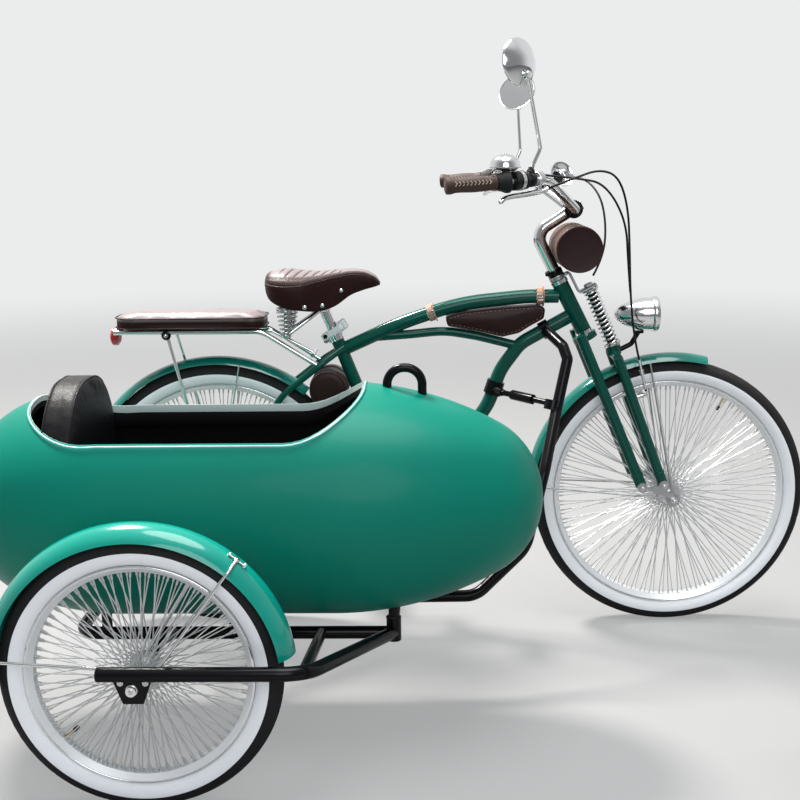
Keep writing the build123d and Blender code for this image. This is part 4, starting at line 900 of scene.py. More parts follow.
def laid_on(piece, path, raised):
    """A path's points moved to the nearest places of a piece's skin, and raised from it."""
    places = []
    for point in path:
        _, place, normal, _ = piece.closest_point_on_mesh(Vector(point * MM + ORIGIN))
        places.append((np.array(place + normal * raised * MM) - ORIGIN) / MM)
    return np.array(places)


# Sidecar
SHELL_R = 235
NOSE = (749, 172, 61.5, 1)      # tip, small radius, turn in degrees, way
TAIL = (-425, 215, 70, -1)
OPENING = (-272, 395, 186, 150)  # back, front, half width, corner
TRIM_THICKNESS = 6
SHELL_WALL = 4
SEAT_BASE = 306.5
SEAT_TOP = 418
BACKREST_TOP = 742
BACKREST_DEPTH = 61.0
ARM_Y = -950
FLAT_AXES = ((1, 0, 0), (0, 1, 0), (0, 0, 1))


def shell_radius(x, inset):
    """The body's radius at each x: a tip arc, a long arc tangent to it, and a straight middle."""
    radius = np.full(x.shape, SHELL_R - inset)
    for tip, small, turn, way in (NOSE, TAIL):
        angle = math.radians(turn)
        large = (SHELL_R - small * math.sin(angle)) / (1 - math.sin(angle))
        small_x = tip - way * small
        past = way * (x - small_x + way * (large - small) * math.cos(angle))
        at_tip = way * (x - small_x) > small * math.cos(angle)
        long_arc = (SHELL_R - large) + np.sqrt(np.maximum((large - inset) ** 2 - past ** 2, 0))
        tip_arc = np.sqrt(np.maximum((small - inset) ** 2 - (x - small_x) ** 2, 0))
        radius = np.where(at_tip, tip_arc, np.where(past > 0, long_arc, radius))
    return radius


def opening_half(x, inset):
    """Half the cockpit opening's width at each x, or 0 outside it."""
    back, front, half, corner = OPENING
    corner = corner - inset
    inside = np.maximum(np.maximum(back + inset + corner - x, x - (front - inset - corner)), 0)
    reach = half - inset - corner + np.sqrt(np.maximum(corner ** 2 - inside ** 2, 0))
    return np.where(inside < corner, reach, 0.0)


def make_liner():
    """A black lining just inside the shell: arcs about its axis, open where the cockpit is."""
    inset, end = SHELL_WALL + 1.2, 60
    low, high = TAIL[0] + inset + 0.5, NOSE[0] - inset - 0.5
    quarter = np.linspace(0, math.pi / 2, 10)
    x = np.concatenate([low + end * (1 - np.cos(quarter[:-1])),
                        np.linspace(low + end, high - end, 150),
                        high - end * (1 - np.sin(quarter[1:]))])
    radius = shell_radius(x, inset)
    half = opening_half(x, TRIM_THICKNESS * 0.5)
    edge = np.arcsin(np.clip(half / np.maximum(radius, 1), 0, 0.999))[:, None]
    angle = math.pi + np.linspace(-1, 1, 91) * (math.pi - edge)
    points = np.stack([x[:, None] + 0 * angle, BODY_Y + radius[:, None] * np.sin(angle),
                       BODY_Z + radius[:, None] * np.cos(angle)], -1)
    liner = add_piece("cockpit_liner", grid(points), "frame", INNER_BLACK)
    wall = liner.modifiers.new("wall", "SOLIDIFY")
    wall.thickness, wall.offset = 0.8 * MM, 0.0


def on_shell(loop, inset):
    """Lifts plan points onto the shell's skin, moved in by an inset."""
    across = loop[:, 1]
    height = np.sqrt(np.maximum(shell_radius(loop[:, 0], inset) ** 2 - across ** 2, 1))
    return np.stack([loop[:, 0], BODY_Y + across, BODY_Z + height], -1)


def opening_loop(inset):
    """The cockpit opening's plan, with Y measured from the body's middle."""
    back, front, half, corner = OPENING
    return oblong(back + inset, front - inset, half - inset, [corner - inset] * 4, 5.0)


def make_cockpit_edge():
    """The trim's inner face and thin crest beading in pale painted reflection, and the dark strip
    below it.

    Both strips are closed bands of (move in from the opening, depth below the skin) rows.
    """
    loop = opening_loop(0)
    away = outward(loop)
    for name, material, stations in (
            ("painted_reflection_edge", EDGE_PAINTED_REFLECTION_GREEN, ((6.1, -2.9), (6.9, -2.2), (6.9, 8.0), (6.1, 8.4))),
            ("inner_strip", INNER_BLACK, ((6.1, 8.2), (7.6, 8.4), (7.6, 19.0), (0.2, 19.4),
                                          (0.2, 18.4), (6.1, 18.3)))):
        rows = [on_shell(loop - away * inset, depth) for inset, depth in stations]
        add_piece("cockpit_" + name, grid(np.stack(rows, 1), True, True), "frame", material)
    # The beading is the same pale green, as painted reflection
    crest = on_shell(opening_loop(TRIM_THICKNESS / 2), -2.4)
    add_piece("cockpit_beading", tube(crest, 1.4, 10, True), "frame", EDGE_PAINTED_REFLECTION_GREEN)


def backrest_loop(shrink):
    """An arch in Y and Z: upright sides to the shoulders, then one wide round over the top."""
    half, top, foot = 170 - shrink, BACKREST_TOP - 3 - shrink, SEAT_BASE + shrink
    corners = [(-half * 0.72, foot), (half * 0.72, foot), (half, 470), (half, top), (-half, top),
               (-half, 470)]
    return rounded_loop(corners, [30, 30, 120, 150 - shrink, 150 - shrink, 120], 9.0)


def make_backrest():
    """An arched bolster with a crowned face, a side band and piped seams along its two edges."""
    axes = ((0, 1, 0), (0, 0, 1), (1, 0, 0))
    place = (-190, BODY_Y, 0)
    pad = pillow(backrest_loop(3), BACKREST_DEPTH, 9, 3, 0, axes, place)
    piece = make_cushion("backrest_cushion", pad, VINYL, "sidecar_backrest", 5, (330, 420))
    reach = BACKREST_DEPTH / 2 - 1
    for name, thickness in (("front", reach), ("back", -reach)):
        path = level(backrest_loop(5), thickness) @ np.array(axes, float) + place
        add_piece("backrest_seam_" + name, tube(laid_on(piece, path, 0.6), 2.0, 10, True),
                  "frame", VINYL)


def make_seat():
    """A seat cushion as wide as the shell at its height, with a round front and a piped edge."""
    height = SEAT_TOP - SEAT_BASE - 12
    loop = oblong(-152, 182, 150, [22, 60, 60, 22], 9.0)
    pad = pillow(loop, height, 26, 10, 0, FLAT_AXES, (0, BODY_Y, SEAT_BASE + 1 + height / 2))
    points = pad[0]
    below = np.clip(BODY_Z - points[:, 2], 0, None)
    room = np.sqrt(np.maximum((SHELL_R - SHELL_WALL - 12) ** 2 - below ** 2, 0))
    points[:, 1] = BODY_Y + np.clip(points[:, 1] - BODY_Y, -room, room)
    piece = make_cushion("seat_cushion", pad, VINYL, "sidecar_seat", 8, (320, 380))
    path = level(loop - outward(loop) * 8 + [0, BODY_Y], SEAT_TOP - 16)
    add_piece("seat_piping", tube(laid_on(piece, path, 0.8), 2.4, 10, True), "frame", VINYL)


def make_chassis_fittings():
    """End caps, the axle plate's bolts and nut, and the stay's clamp on the fender."""
    ends = [lathed((-58, ARM_Y, 285), (-1, 0, 0), [(12.6, -6), (12.9, 0.5), (11.5, 3), (4, 4.2)],
                   24),
            lathed((444, -596, 246), UP, [(14.6, -2), (14.8, 0), (12, 2.4)], 24)]
    add_piece("tube_end_caps", ends, "frame", BLACK_PLASTIC)
    bolts = [part for x in (-19, 25) for part in (
        lathed((x, ARM_Y - 4, 271), -LEFT, [(2, -0.6), (5.4, -0.4), (5.4, 1.2), (2, 1.4)], 24),
        dome((x, ARM_Y - 5.2, 271), -LEFT, 3.4, 1.8))]
    add_piece("axle_plate_bolts", bolts, "frame", SATIN_METAL)
    hub = HUBS["sidecar"]
    add_piece("sidecar_axle_nut", [lathed(hub - LEFT * 74.2, LEFT, washer(6, 10.5, 1.6), 32),
                                   hexagon_nut(hub - LEFT * 75.8, -LEFT, 15.5, 5),
                                   dome(hub - LEFT * 80.4, -LEFT, 5.6, 2.4)],
              "frame", SATIN_METAL)
    turn = math.radians(50)
    up = np.array([math.cos(turn), 0, math.sin(turn)])
    ahead = np.array([-math.sin(turn), 0, math.cos(turn)])
    inner, crown = SIDE_WHEEL_R + 1, SIDE_WHEEL_R + SIDE_FENDER_GAP
    hook = [hub + up * reach - LEFT * out for reach, out in
            ((inner - 6, 45.4), (inner + 5, 45.6), (inner + 13, 41), (crown - 4, 27),
             (crown + 3.2, 15))]
    tip = hub + up * (crown + 0.6) - LEFT * 12
    add_piece("fender_stay_clamp", [
        tube(rounded(hook, [8, 8, 10]), 2.6, 12),
        tube([tip - ahead * 15, tip + ahead * 15], 2.4, 12),
        hexagon_nut(tip - ahead * 15, -ahead, 9, 5), dome(tip + ahead * 15, ahead, 5, 3),
        lathed(tip - up * 2, up, [(2, 0), (6.5, 0.4), (6.5, 4.4), (5, 5.6)], 24),
    ], "frame", CHROME)


make_liner()
make_cockpit_edge()
make_backrest()
make_seat()
make_chassis_fittings()


# Saddle, rack pad and bags
# Columns: x, half width, top, seam and hem heights
SADDLE = np.array([
    (127.0, 10, 874, 868, 858), (131, 44, 886, 870, 846), (146, 76, 895, 866, 828),
    (180, 92, 900, 864, 812), (222, 90, 895, 866, 805), (262, 70, 893, 874, 802),
    (298, 50, 896, 881, 812), (334, 37, 898, 886, 836), (366, 31, 895, 884, 848),
    (390, 25, 884, 874, 854), (402, 12, 870, 864, 857), (404, 5, 864, 862, 858)])
PLEATS = (176, 320, 21.0)       # first, last, pitch
PLEAT_DEPTH = 3.2
SEAM_DEPTH = 1.8
ROLL_RISE = 1.6
# How far in from the saddle's edge, and how far down its skirt
SKIRT = [(-1.0, 0.06), (-1.6, 0.2), (-0.8, 0.45), (0.6, 0.7), (2.4, 0.9), (3.2, 0.98), (4.4, 1.0),
         (6.4, 0.97), (7.0, 0.86), (7.0, 0.4), (8.0, 0.1)]
SADDLE_RIVETS = ((228, 0.84), (268, 0.82), (312, 0.55))
RACK_PAD = (-241, 127, 64, 758.4, 797)  # back, front, half width, bottom, top
BAG_OUTLINE = [(562, 779), (600, 791), (700, 801), (788, 806), (803, 798), (800, 774), (762, 753),
               (740, 739), (700, 730), (640, 744), (568, 757)]
BAG_BENDS = [8, 20, 40, 10, 7, 10, 14, 14, 14, 20, 8]


def make_saddle():
    """Sections across a table of stations: an arched top, a skirt that draws in, and a hem.

    Pleats are narrow bell-shaped dents across the top's rear half, fading to its edges.
    """
    rows = smooth(SADDLE, 281)
    x, half, top, seam, hem = (rows[:, n:n + 1] for n in range(5))
    across = np.sin(np.linspace(-math.pi / 2, math.pi / 2, 49))[None, :]
    off_middle = np.abs(across)
    height = seam + (top - seam) * (1 - off_middle ** 2.2) ** 0.62
    first, last, pitch = PLEATS
    phase = (x - first + 22 * off_middle ** 1.5) / pitch
    there = steps(x, first - 12, first - 2) * (1 - steps(x, last - 10, last))
    dent = np.exp(-((phase - np.round(phase)) / 0.11) ** 2) * (1 - steps(off_middle, 0.68, 0.78))
    height = height - PLEAT_DEPTH * dent * there
    height = height - SEAM_DEPTH * np.exp(-((off_middle - 0.78) / 0.025) ** 2) * there
    roll = ROLL_RISE * np.exp(-((off_middle - 0.93) / 0.05) ** 2)

    def skirt(side):
        return [np.stack([x, np.maximum(half - inset, 2) * side, seam + (hem - seam) * share], -1)
                for inset, share in SKIRT]

    under = np.stack([x + 0 * across[:, ::6], np.maximum(half - 10, 1.5) * across[:, ::-6],
                      seam - 6 + 0 * across[:, ::6]], -1)
    points = np.concatenate([np.stack([x + 0 * across, half * across, height + roll], -1),
                             *skirt(1), under, *skirt(-1)[::-1]], 1)
    piece = add_piece("saddle_cover", grid(points, False, True, True), "frame", SADDLE_LEATHER)
    # Painted highlight over the top, held back in the pleat dents as painted shade
    pale = (1 - steps(off_middle, 0.70, 0.78)) * steps(x, 136, 150) * (1 - 0.85 * dent * there)
    share = np.zeros(len(piece.data.vertices))
    painted_highlight = share[:points.shape[0] * points.shape[1]].reshape(points.shape[:2])
    painted_highlight[:, :pale.shape[1]] = pale
    piece.data.attributes.new("painted_highlight", "FLOAT", "POINT").data.foreach_set("value", share)
    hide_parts("saddle")
    seam_line = np.stack([rows[10:-14, 0], rows[10:-14, 1] + 0.6, rows[10:-14, 3] - 1.0], -1)
    add_piece("saddle_seams", mirrored(tube(seam_line, 1.3, 8)), "frame", PIPING_DARK)
    rivets = []
    for at, share in SADDLE_RIVETS:
        _, wide, _, high, low = (np.interp(at, rows[:, 0], rows[:, n]) for n in range(5))
        rivets.append(dome((at, -wide - 0.4, high + (low - high) * share), -LEFT, 5.6, 3.0))
    back = dome((128.5, -26, 862), (-1, 0, 0), 4.2, 2.4)
    add_piece("saddle_rivets", [mirrored(joined(*rivets)), mirrored(back)], "frame", CHROME)


def make_saddle_frame():
    """Post clamp, bars to the springs and the nose, and conical coil springs between cups."""
    x, z = 268, 807
    bars, coils = [], []
    for side in (-1, 1):
        bars.append(tube(rounded([(x, 18 * side, z), (x - 40, 40 * side, z - 30),
                                  (178, 58 * side, 741)], [60]), 5, 14))
        bars.append(tube(smooth([(x - 4, 16 * side, z + 4), (292, 15 * side, 817),
                                 (330, 12 * side, 838)], 24), 4, 12))
        foot = np.array([178, 58 * side, 738.0])
        bars.append(lathed(foot, UP, [(5, 0), (12, 0.5), (13.4, 2.4), (13.4, 5), (12.6, 5.4),
                                      (12, 3), (3, 2.8)], 40))
        bars.append(lathed(foot + UP * 66, UP, [(4, 2), (19, 2), (21.5, 4), (21.5, 8), (4, 8.5)],
                           40))
        bars.append(rod(foot + UP * 2, foot + UP * 70, 3.6, 14))
        coils.append(helix(foot + UP * 4, foot + UP * 72, (9.5, 19.5), 2.9, 7.4, 10))
    bars.append(rod((x, -25, z), (x, 25, z), 9, 28))
    for side in (-1, 1):
        bars.append(lathed((x, 13 * side, z), LEFT * side, [(9, 0), (15, 0.5), (16, 2), (16, 10),
                                                            (14.5, 12), (9, 12.4)], 36))
        bars.append(hexagon_nut((x, 25 * side, z), LEFT * side, 14, 6))
    add_piece("saddle_bars", bars, "frame", CHROME)
    c, s = math.cos(math.radians(33)), math.sin(math.radians(33))
    lean = ((c, 0, -s), (0, 1, 0), (s, 0, c))
    add_piece("seat_clamp_block", [block((287, 0, 744), (58, 46, 17), 0.16, 40, 20, lean),
                                   block((310, 0, 760), (22, 40, 24), 0.2, 40, 20, lean)],
              "frame", ALLOY)
    # A dark disc as painted shade where the clamp's hole is
    add_piece("seat_clamp_hole_painted_shade", lathed((270, -21, 734.5), -LEFT, washer(0.4, 5.2, 3.2), 24),
              "frame", PAINTED_SHADE_BLACK)
    add_piece("saddle_springs", coils, "frame", SATIN_METAL, "saddle_frame")


def make_rack_pad():
    """A long pad, round at its ends, crowned on top and flat where it lies on the rack."""
    back, front, half, low, high = RACK_PAD
    loop = oblong(back, front, half, [46, 34, 34, 46], 7.0)
    height = high - low - 5.5
    pad = pillow(loop, height, 11, 2.5, 0, FLAT_AXES, (0, 0, low + height / 2))
    make_cushion("rack_cushion", pad, RACK_LEATHER, "rack_pad", 6, (low, low + 12), 4.5)
    for name, at in (("upper", high - 11), ("lower", low + 4)):
        add_piece("rack_pad_seam_" + name, tube(level(loop - outward(loop), at), 1.7, 8, True),
                  "frame", PIPING_DARK)
    strut = np.array([-112, -49, 745])
    add_piece("strut_washers", mirrored(lathed(strut, -LEFT, [(3, 0), (11, 0), (11.5, 1.5),
                                                              (11.5, 4.5), (9, 6), (3, 6)], 32)),
              "frame", BLACK_ENAMEL)
    bolt = joined(hexagon_nut(strut - LEFT * 6, -LEFT, 11, 5), dome(strut - LEFT * 11, -LEFT, 3.4,
                                                                    1.7))
    add_piece("strut_bolts", mirrored(bolt), "frame", CHROME)


def upright(loop, y):
    """A loop in X and Z as places at one Y."""
    return np.column_stack([loop[:, 0], np.full(len(loop), y), loop[:, 1]])


def make_frame_bag():
    """A stiff flat bag between the tubes: bulged faces, piped edges and a row of stitches."""
    loop = rounded_loop(BAG_OUTLINE, BAG_BENDS, 5.0)
    bag = pillow(loop, 36, 5, 5.5, 5.5, ((1, 0, 0), (0, 0, 1), (0, -1, 0)), (0, 0, 0))
    add_piece("frame_bag_leather", bag, "frame", MAROON, "frame_bag")
    rims = [tube(upright(loop - outward(loop) * 1.4, y), 1.8, 8, True) for y in (-17.4, 17.4)]
    add_piece("frame_bag_piping", rims, "frame", PIPING_DARK)
    place = upright(loop - outward(loop) * 6.0, -19.6)
    starts, ends = place[0::2], place[0::2] + (np.roll(place, -1, 0) - place)[0::2] * 0.75
    add_piece("frame_bag_stitches", mirrored(rods(starts, ends, 0.55, 5)), "frame", THREAD)


def make_strap_buckles():
    """A flat buckle and a keeper on the near side of each strap on the top tube."""
    for name, x, z, lean in (("front", 790, 826, 0.0), ("rear", 526.5, 787.7,
                                                        math.atan2(48, 146))):
        way = np.array([math.cos(lean), 0, math.sin(lean)])
        up = np.array([-math.sin(lean), 0, math.cos(lean)])
        tube_middle = np.array([x, 0, z])
        middle = tube_middle - LEFT * 21.6
        corners = [middle + way * a + up * b for a, b in ((-8, -7), (8, -7), (8, 7), (-8, 7))]
        loop = even(np.array(corners + corners[:1]), 3.0)
        pin = rod(middle - way * 8, middle + way * 7 - LEFT * 1.2, 1.0, 8)
        add_piece("strap_buckle_" + name, [tube(loop, 1.2, 8, True), pin], "frame", CHROME)
        hoop = np.linspace(0, 2 * math.pi, 48, endpoint=False)[:, None]
        path = tube_middle + way * 9.5 + (up * np.sin(hoop) - LEFT * np.cos(hoop)) * 21.4
        keeper = swept(path, [(-1.2, -3), (1.2, -3), (1.2, 3), (-1.2, 3)], True)
        add_piece("strap_keeper_" + name, keeper, "frame", STRAP_LEATHER)


def make_tool_roll():
    """A rolled leather bag behind the seat tube: domed ends, piped rims and two straps."""
    radius, half = 45.5, 61.5
    start = centre_of("tool_roll") - LEFT * half
    outline = doubled([(0.5, 1), (30, 0), (40, 1.2), (44, 4), (radius, 8), (radius + 0.4, 30),
                       (radius, half)])
    add_piece("tool_roll_leather", lathed(start, LEFT, outline, 72), "frame", MAROON, "tool_roll")
    add_piece("tool_roll_piping", rings_about_y(start, (3.4, 2 * half - 3.4),
                                                circle(1.7, 8) + [43.6, 0], 96),
              "frame", PIPING_DARK)
    add_piece("tool_roll_straps", rings_about_y(start, (34, 2 * half - 34),
                                                [(45, -8), (47.4, -7), (47.4, 7), (45, 8)], 96),
              "frame", STRAP_DARK)


make_saddle()
make_saddle_frame()
make_rack_pad()
make_frame_bag()
make_strap_buckles()
make_tool_roll()


# Steering, from the bar down to the fork
GRIP_LENGTH = 108
BEND = (421, -30, 318)          # each as along the axis, ahead of it, half the bar's width
RISE = (382, 60, 230)
END = (470, -142, 342)
CLAMP = steered(275, 104)
LINK_Y = 74
SIDES = ((-1, "right"), (1, "left"))
SPRING_TOP = steered(85, 58)
SPRING_FOOT = steered(-66, 48)
# Each mirror's side, its place along and ahead of the axis, and the way its glass looks
MIRRORS = [(-1, 626, 108, (-0.68, 0.72, -0.10)), (1, 583, 135, (-0.42, -0.80, 0.42))]
# Each cord's length in metres, then its route along the axis, ahead of it, to the left
CORDS = {
    "brake_cable": (0.752, [
        (362, 51, -245), (353, 113, -215), (341, 180, -150), (303, 220, -100), (227, 212, -82),
        (134, 173, -78), (43, 132, -76), (-51, 97, -76), (-142, 76, -72), (-190, 66, -64)]),
    "rear_cable": (0.461, [
        (362, 51, 245), (348, 116, 200), (325, 172, 120), (269, 185, 60), (198, 162, 34),
        (135, 122, 22), (106, 80, 18)]),
    "lamp_wire": (0.500, [
        (391, 58, -251), (371, 88, -205), (345, 128, -150), (301, 188, -80), (200, 198, -60),
        (105, 160, -52), (40, 136, -47)])}
CABLE_R = 2.6


def on_bar(start, end, side, distance):
    """A point on a straight stretch of one half of the bar."""
    start, end = (steered(up, ahead, side * out) for up, ahead, out in (start, end))
    return start + unit(end - start) * distance


def on_grip(side, distance):
    """A point on the bar's end under a grip, measured from its tip."""
    return on_bar(END, BEND, side, distance)


def on_slope(side, distance):
    """A point on the sloping stretch of the bar beside a grip."""
    return on_bar(BEND, RISE, side, distance)


def slope_way(side):
    """The direction of the bar's sloping stretch."""
    return on_slope(side, 1) - on_slope(side, 0)


def round_slope(side, distance, outline, segments):
    """A turned part round the bar's sloping stretch."""
    return lathed(on_slope(side, distance), slope_way(side), outline, segments)


def below_bar(side, distance, drop):
    """A point under the sloping stretch, square to it."""
    way = slope_way(side)
    return on_slope(side, distance) + unit(way * way[2] - UP) * drop


def make_grips():
    """Shaped leather grips with a flared end, laced along the top, with a seam."""
    outline = [(3, -2.8), (14, -2.6), (17.2, -1), (18, 4), (17.6, 10), (15.6, 18), (15.4, 30),
               (16.6, 50), (16.9, 62), (16.2, 80), (15.4, 94), (16.8, 102), (17, 107), (12, 108)]
    for side, name in SIDES:
        start = on_grip(side, 0)
        way = on_grip(side, 1) - start
        add_piece("grip_" + name, lathed(start, way, outline, 56), "steering", GRIP_LEATHER,
                  "grips" if side < 0 else None)
        axes = facing(way)
        place = np.arange(16, 98, 8.2)
        radius = np.interp(place, *np.array(outline).T[::-1]) + 0.4
        turn = math.radians(78 if axes[2, 0] > 0 else 258)

        def on_skin(angle, drift=0.0):
            return np.stack([radius * math.cos(angle), radius * math.sin(angle), place + drift],
                            -1) @ axes.T + start

        starts = np.concatenate([on_skin(turn + offset) for offset in (-0.3, 0.3)])
        ends = np.concatenate([on_skin(turn - offset * 0.2, 4.4) for offset in (-0.3, 0.3)])
        add_piece("grip_lacing_" + name, rods(starts, ends, 0.9, 6), "steering", PIPING)
        add_piece("grip_seam_" + name, tube(on_skin(turn), 0.9, 6), "steering", PIPING_DARK)


def make_housings():
    """Black twist collars and switch housings: a ribbed cone beside the grip, then a block."""
    outline = [(12, 0), (18, 0.5), (20, 3), (20, 12)]
    for base in (14, 17.2, 20.4, 23.6, 26.8, 30):
        outline += [(19.9, base), (18.8, base + 0.8), (18.8, base + 1.6), (19.9, base + 2.4)]
    outline += [(19.8, 34), (17, 36), (17, 38), (19, 40), (19, 41.4), (12, 42)]
    cone = [(11.6, 0), (16.4, 0.4), (17.6, 3), (18.4, 6), (22.4, 15), (23.4, 18), (23.4, 26),
            (21, 29), (16, 30.5), (11.6, 31)]
    for side, name in SIDES:
        add_piece("control_housing_" + name, round_slope(side, 24, outline, 56), "steering",
                  BLACK_PLASTIC, "control_housings" if side < 0 else None)
        add_piece("grip_collar_" + name, lathed(on_grip(side, GRIP_LENGTH + 1),
                                                on_grip(side, 1) - on_grip(side, 0), cone, 48),
                  "steering", BLACK_RUBBER)


def make_bar_clamp():
    """The stem's black clamp round the middle of the bar, with its four pinch bolts."""
    outline = [(12, 0), (20, 0), (21.6, 1.6), (21.6, 17), (20.6, 18), (20.6, 38), (21.6, 39),
               (21.6, 54.4), (20, 56), (12, 56)]
    add_piece("bar_clamp", lathed(CLAMP - LEFT * 28, LEFT, outline, 56), "steering", BLACK_ENAMEL)
    ahead, up = np.array([0.893, 0, 0.451]), np.array([-0.451, 0, 0.893])
    bolts = [dome(CLAMP + LEFT * side * 17 + ahead * 20.8 + up * rise, ahead, 4.2, 3)
             for side in (-1, 1) for rise in (-7, 7)]
    add_piece("bar_clamp_bolts", bolts, "steering", SATIN_METAL)


def make_levers():
    """Polished perches and blades: a flat oval section that narrows and turns down to a ball."""
    perch, blades, barrels = [], [], []
    ball = [(0.3, 0)] + [(4.6 * math.sin(a), 4.6 - 4.6 * math.cos(a))
                         for a in np.linspace(0.2, math.pi - 0.2, 10)] + [(0.3, 9.2)]
    size = np.interp(np.linspace(0, 1, 40), [0, 0.2, 0.8, 0.93, 1], [1.1, 1.0, 0.8, 0.75, 0.7])
    for side in (-1, 1):
        pivot = below_bar(side, 106, 27)
        perch.append(round_slope(side, 97, collar(11.2, 15, 16.6, 1.6, 18), 40))
        perch.append(rod(below_bar(side, 106, 12), pivot, 7, 20))
        perch.append(lathed(pivot + UP * 5, -UP, [(3, -1), (8, -0.5), (8.6, 1), (8.6, 8),
                                                  (8, 9.5), (3, 10)], 28))
        path = smooth([pivot, below_bar(side, 60, 30), below_bar(side, 14, 32),
                       below_bar(side, -4, 36), below_bar(side, -12, 41)], 40)
        blades.append(swept(path, circle(1.0, 16) * [9.5, 6.2], False, size))
        blades.append(lathed(path[-1] + UP * 4.6, -UP, ball, 20))
        way = steered(362, 51, side * 245) - pivot
        barrels.append(lathed(pivot, way, [(6, 0), (6, 8), (4.6, 9), (4.6, 14), (5.4, 14.5),
                                           (5.4, 22), (4.4, 22.5), (4.4, np.linalg.norm(way))],
                              24))
    add_piece("lever_perches", perch, "steering", SATIN_METAL, "brake_levers")
    add_piece("lever_blades", blades, "steering", CHROME)
    add_piece("cable_barrels", barrels, "steering", CHROME)


def make_mirrors():
    """Chrome bowls as deep as the 1.5th power of their radius, each with a rolled rim and a glass.

    Bent stems hold them low.
    """
    shells, stems, feet, glasses = [], [], [], []
    bowl = [(0.5, 0), (7, 0.3)] + [(8 + 41.5 * share, 0.6 + 20 * share ** 1.5)
                                  for share in np.linspace(0, 1, 14)[1:]]
    bowl += [(50, 21.6), (50, 23.6), (49, 24.4), (47.6, 24), (47, 22.8), (46.5, 22.4), (0.5, 22.2)]
    for side, up, ahead, look in MIRRORS:
        look = unit(look)
        back = steered(up, ahead, side * 300) - look * 22
        shells.append(lathed(back, look, bowl, 72))
        glasses.append(lathed(back + look * 22.6, look, [(46.6, 0), (46.4, 0.8), (0.5, 0.9)], 72))
        joint = back + look * 6 + unit(look * look[2] - UP) * 30
        foot = on_slope(side, 82)
        path = rounded([foot + UP * 12, foot + [4, 0, 30], foot + [20, side * 2, 66],
                        joint - look * 5], [18, 24])
        stems.append(tube(path, 4.3, 16))
        stems.append(lathed(joint - look * 9, look, [(3, -3), (7.5, -2.6), (9, 0), (9, 12),
                                                     (6, 14)], 28))
        feet.append(lathed(foot + UP * 10, UP, [(8, 0), (9.5, 1.5), (9.5, 7), (8.6, 10), (5.4, 14),
                                                (5, 17)], 28))
        feet.append(round_slope(side, 76, collar(11.3, 15, 16, 1.4, 12), 36))
    add_piece("mirror_shells", shells, "steering", CHROME, "mirrors")
    add_piece("mirror_glasses", glasses, "steering", MIRROR_GLASS)
    add_piece("mirror_stems", stems, "steering", CHROME)
    add_piece("mirror_feet", feet, "steering", BLACK_PLASTIC)


def make_bell():
    """A squat bell: a superellipse with a rolled lip over a smaller base, and its thumb lever."""
    foot = on_slope(-1, 34) + UP * 22
    middle = foot + [-22, -4, 6]
    top = [(31.5, 0.4), (33, 0), (33.4, 1.2), (33, 3)]
    top += [(32.6 * math.cos(a) ** 0.8, 3 + 25.5 * math.sin(a)) for a in np.linspace(0.1, 1.5, 16)]
    top += [(4.5, 29), (4.2, 30), (0.4, 30)]
    add_piece("bell_dome", lathed(middle, UP, top, 72), "steering", CHROME, "bell")
    neck = smooth([middle + [10, 0, -6], foot + [-4, 0, -2], foot - UP * 9], 12)
    base = [(0.5, -7), (18, -7), (26, -4), (29, -0.6), (29, 0.6), (3, 1)]
    add_piece("bell_base", [lathed(middle, UP, base, 56), tube(neck, 5.5, 14),
                            round_slope(-1, 40, [(20, 0), (21.2, 0.4), (21.2, 9.6), (20, 10)],
                                        40)], "steering", SATIN_METAL)
    path = smooth([middle + [-18, -20, -2], middle + [-26, -29, -4], middle + [-31, -30, -9]], 14)
    add_piece("bell_lever", swept(path, circle(1.0, 10) * [4.0, 1.6]), "steering", BLACK_PLASTIC)


def make_horn():
    """A trumpet: a straight throat that flares as the fourth power of the distance, and a bulb."""
    back = steered(354, 65, -12)
    way = steered(365, 109, -82) - back
    length = np.linalg.norm(way)
    place = np.linspace(0, 1, 24)
    flare = 8.5 + 4 * place + 17.5 * place ** 4
    outer = [(r, 32 + (length - 32) * p) for r, p in zip(flare, place)]
    inner = [(r - 1.6, h) for r, h in outer[::-1][1:-3]]
    trumpet = ([(0.5, 30), (8, 30.4)] + outer + [(29.9, length + 0.6), (28, length)] + inner
               + [(0.4, inner[-1][1])])
    add_piece("horn_trumpet", lathed(back, way, trumpet, 64), "steering", CHROME, "horn")
    # A dark disc deep in the throat as painted shade
    throat = [(0.3, length - 24), (12, length - 24.5), (12.4, length - 23), (0.3, length - 22.6)]
    add_piece("horn_throat_painted_shade", lathed(back, way, throat, 40), "steering", PAINTED_SHADE_BLACK)
    bulb = [(0.4, -1)] + [(14 * math.sin(a) ** 0.8, 14 - 15 * math.cos(a))
                          for a in np.linspace(0.15, 2.9, 18)] + [(6, 32), (0.4, 32)]
    add_piece("horn_bulb", lathed(back, way, bulb, 48), "steering", BLACK_RUBBER)
    add_piece("horn_clamp", [lathed(CLAMP - LEFT * 30, -LEFT, collar(11.2, 15, 16, 1.5, 12), 40),
                             rod(CLAMP + [2, -36, 12], steered(357, 78, -32), 4.5, 14)],
              "steering", BLACK_ENAMEL)


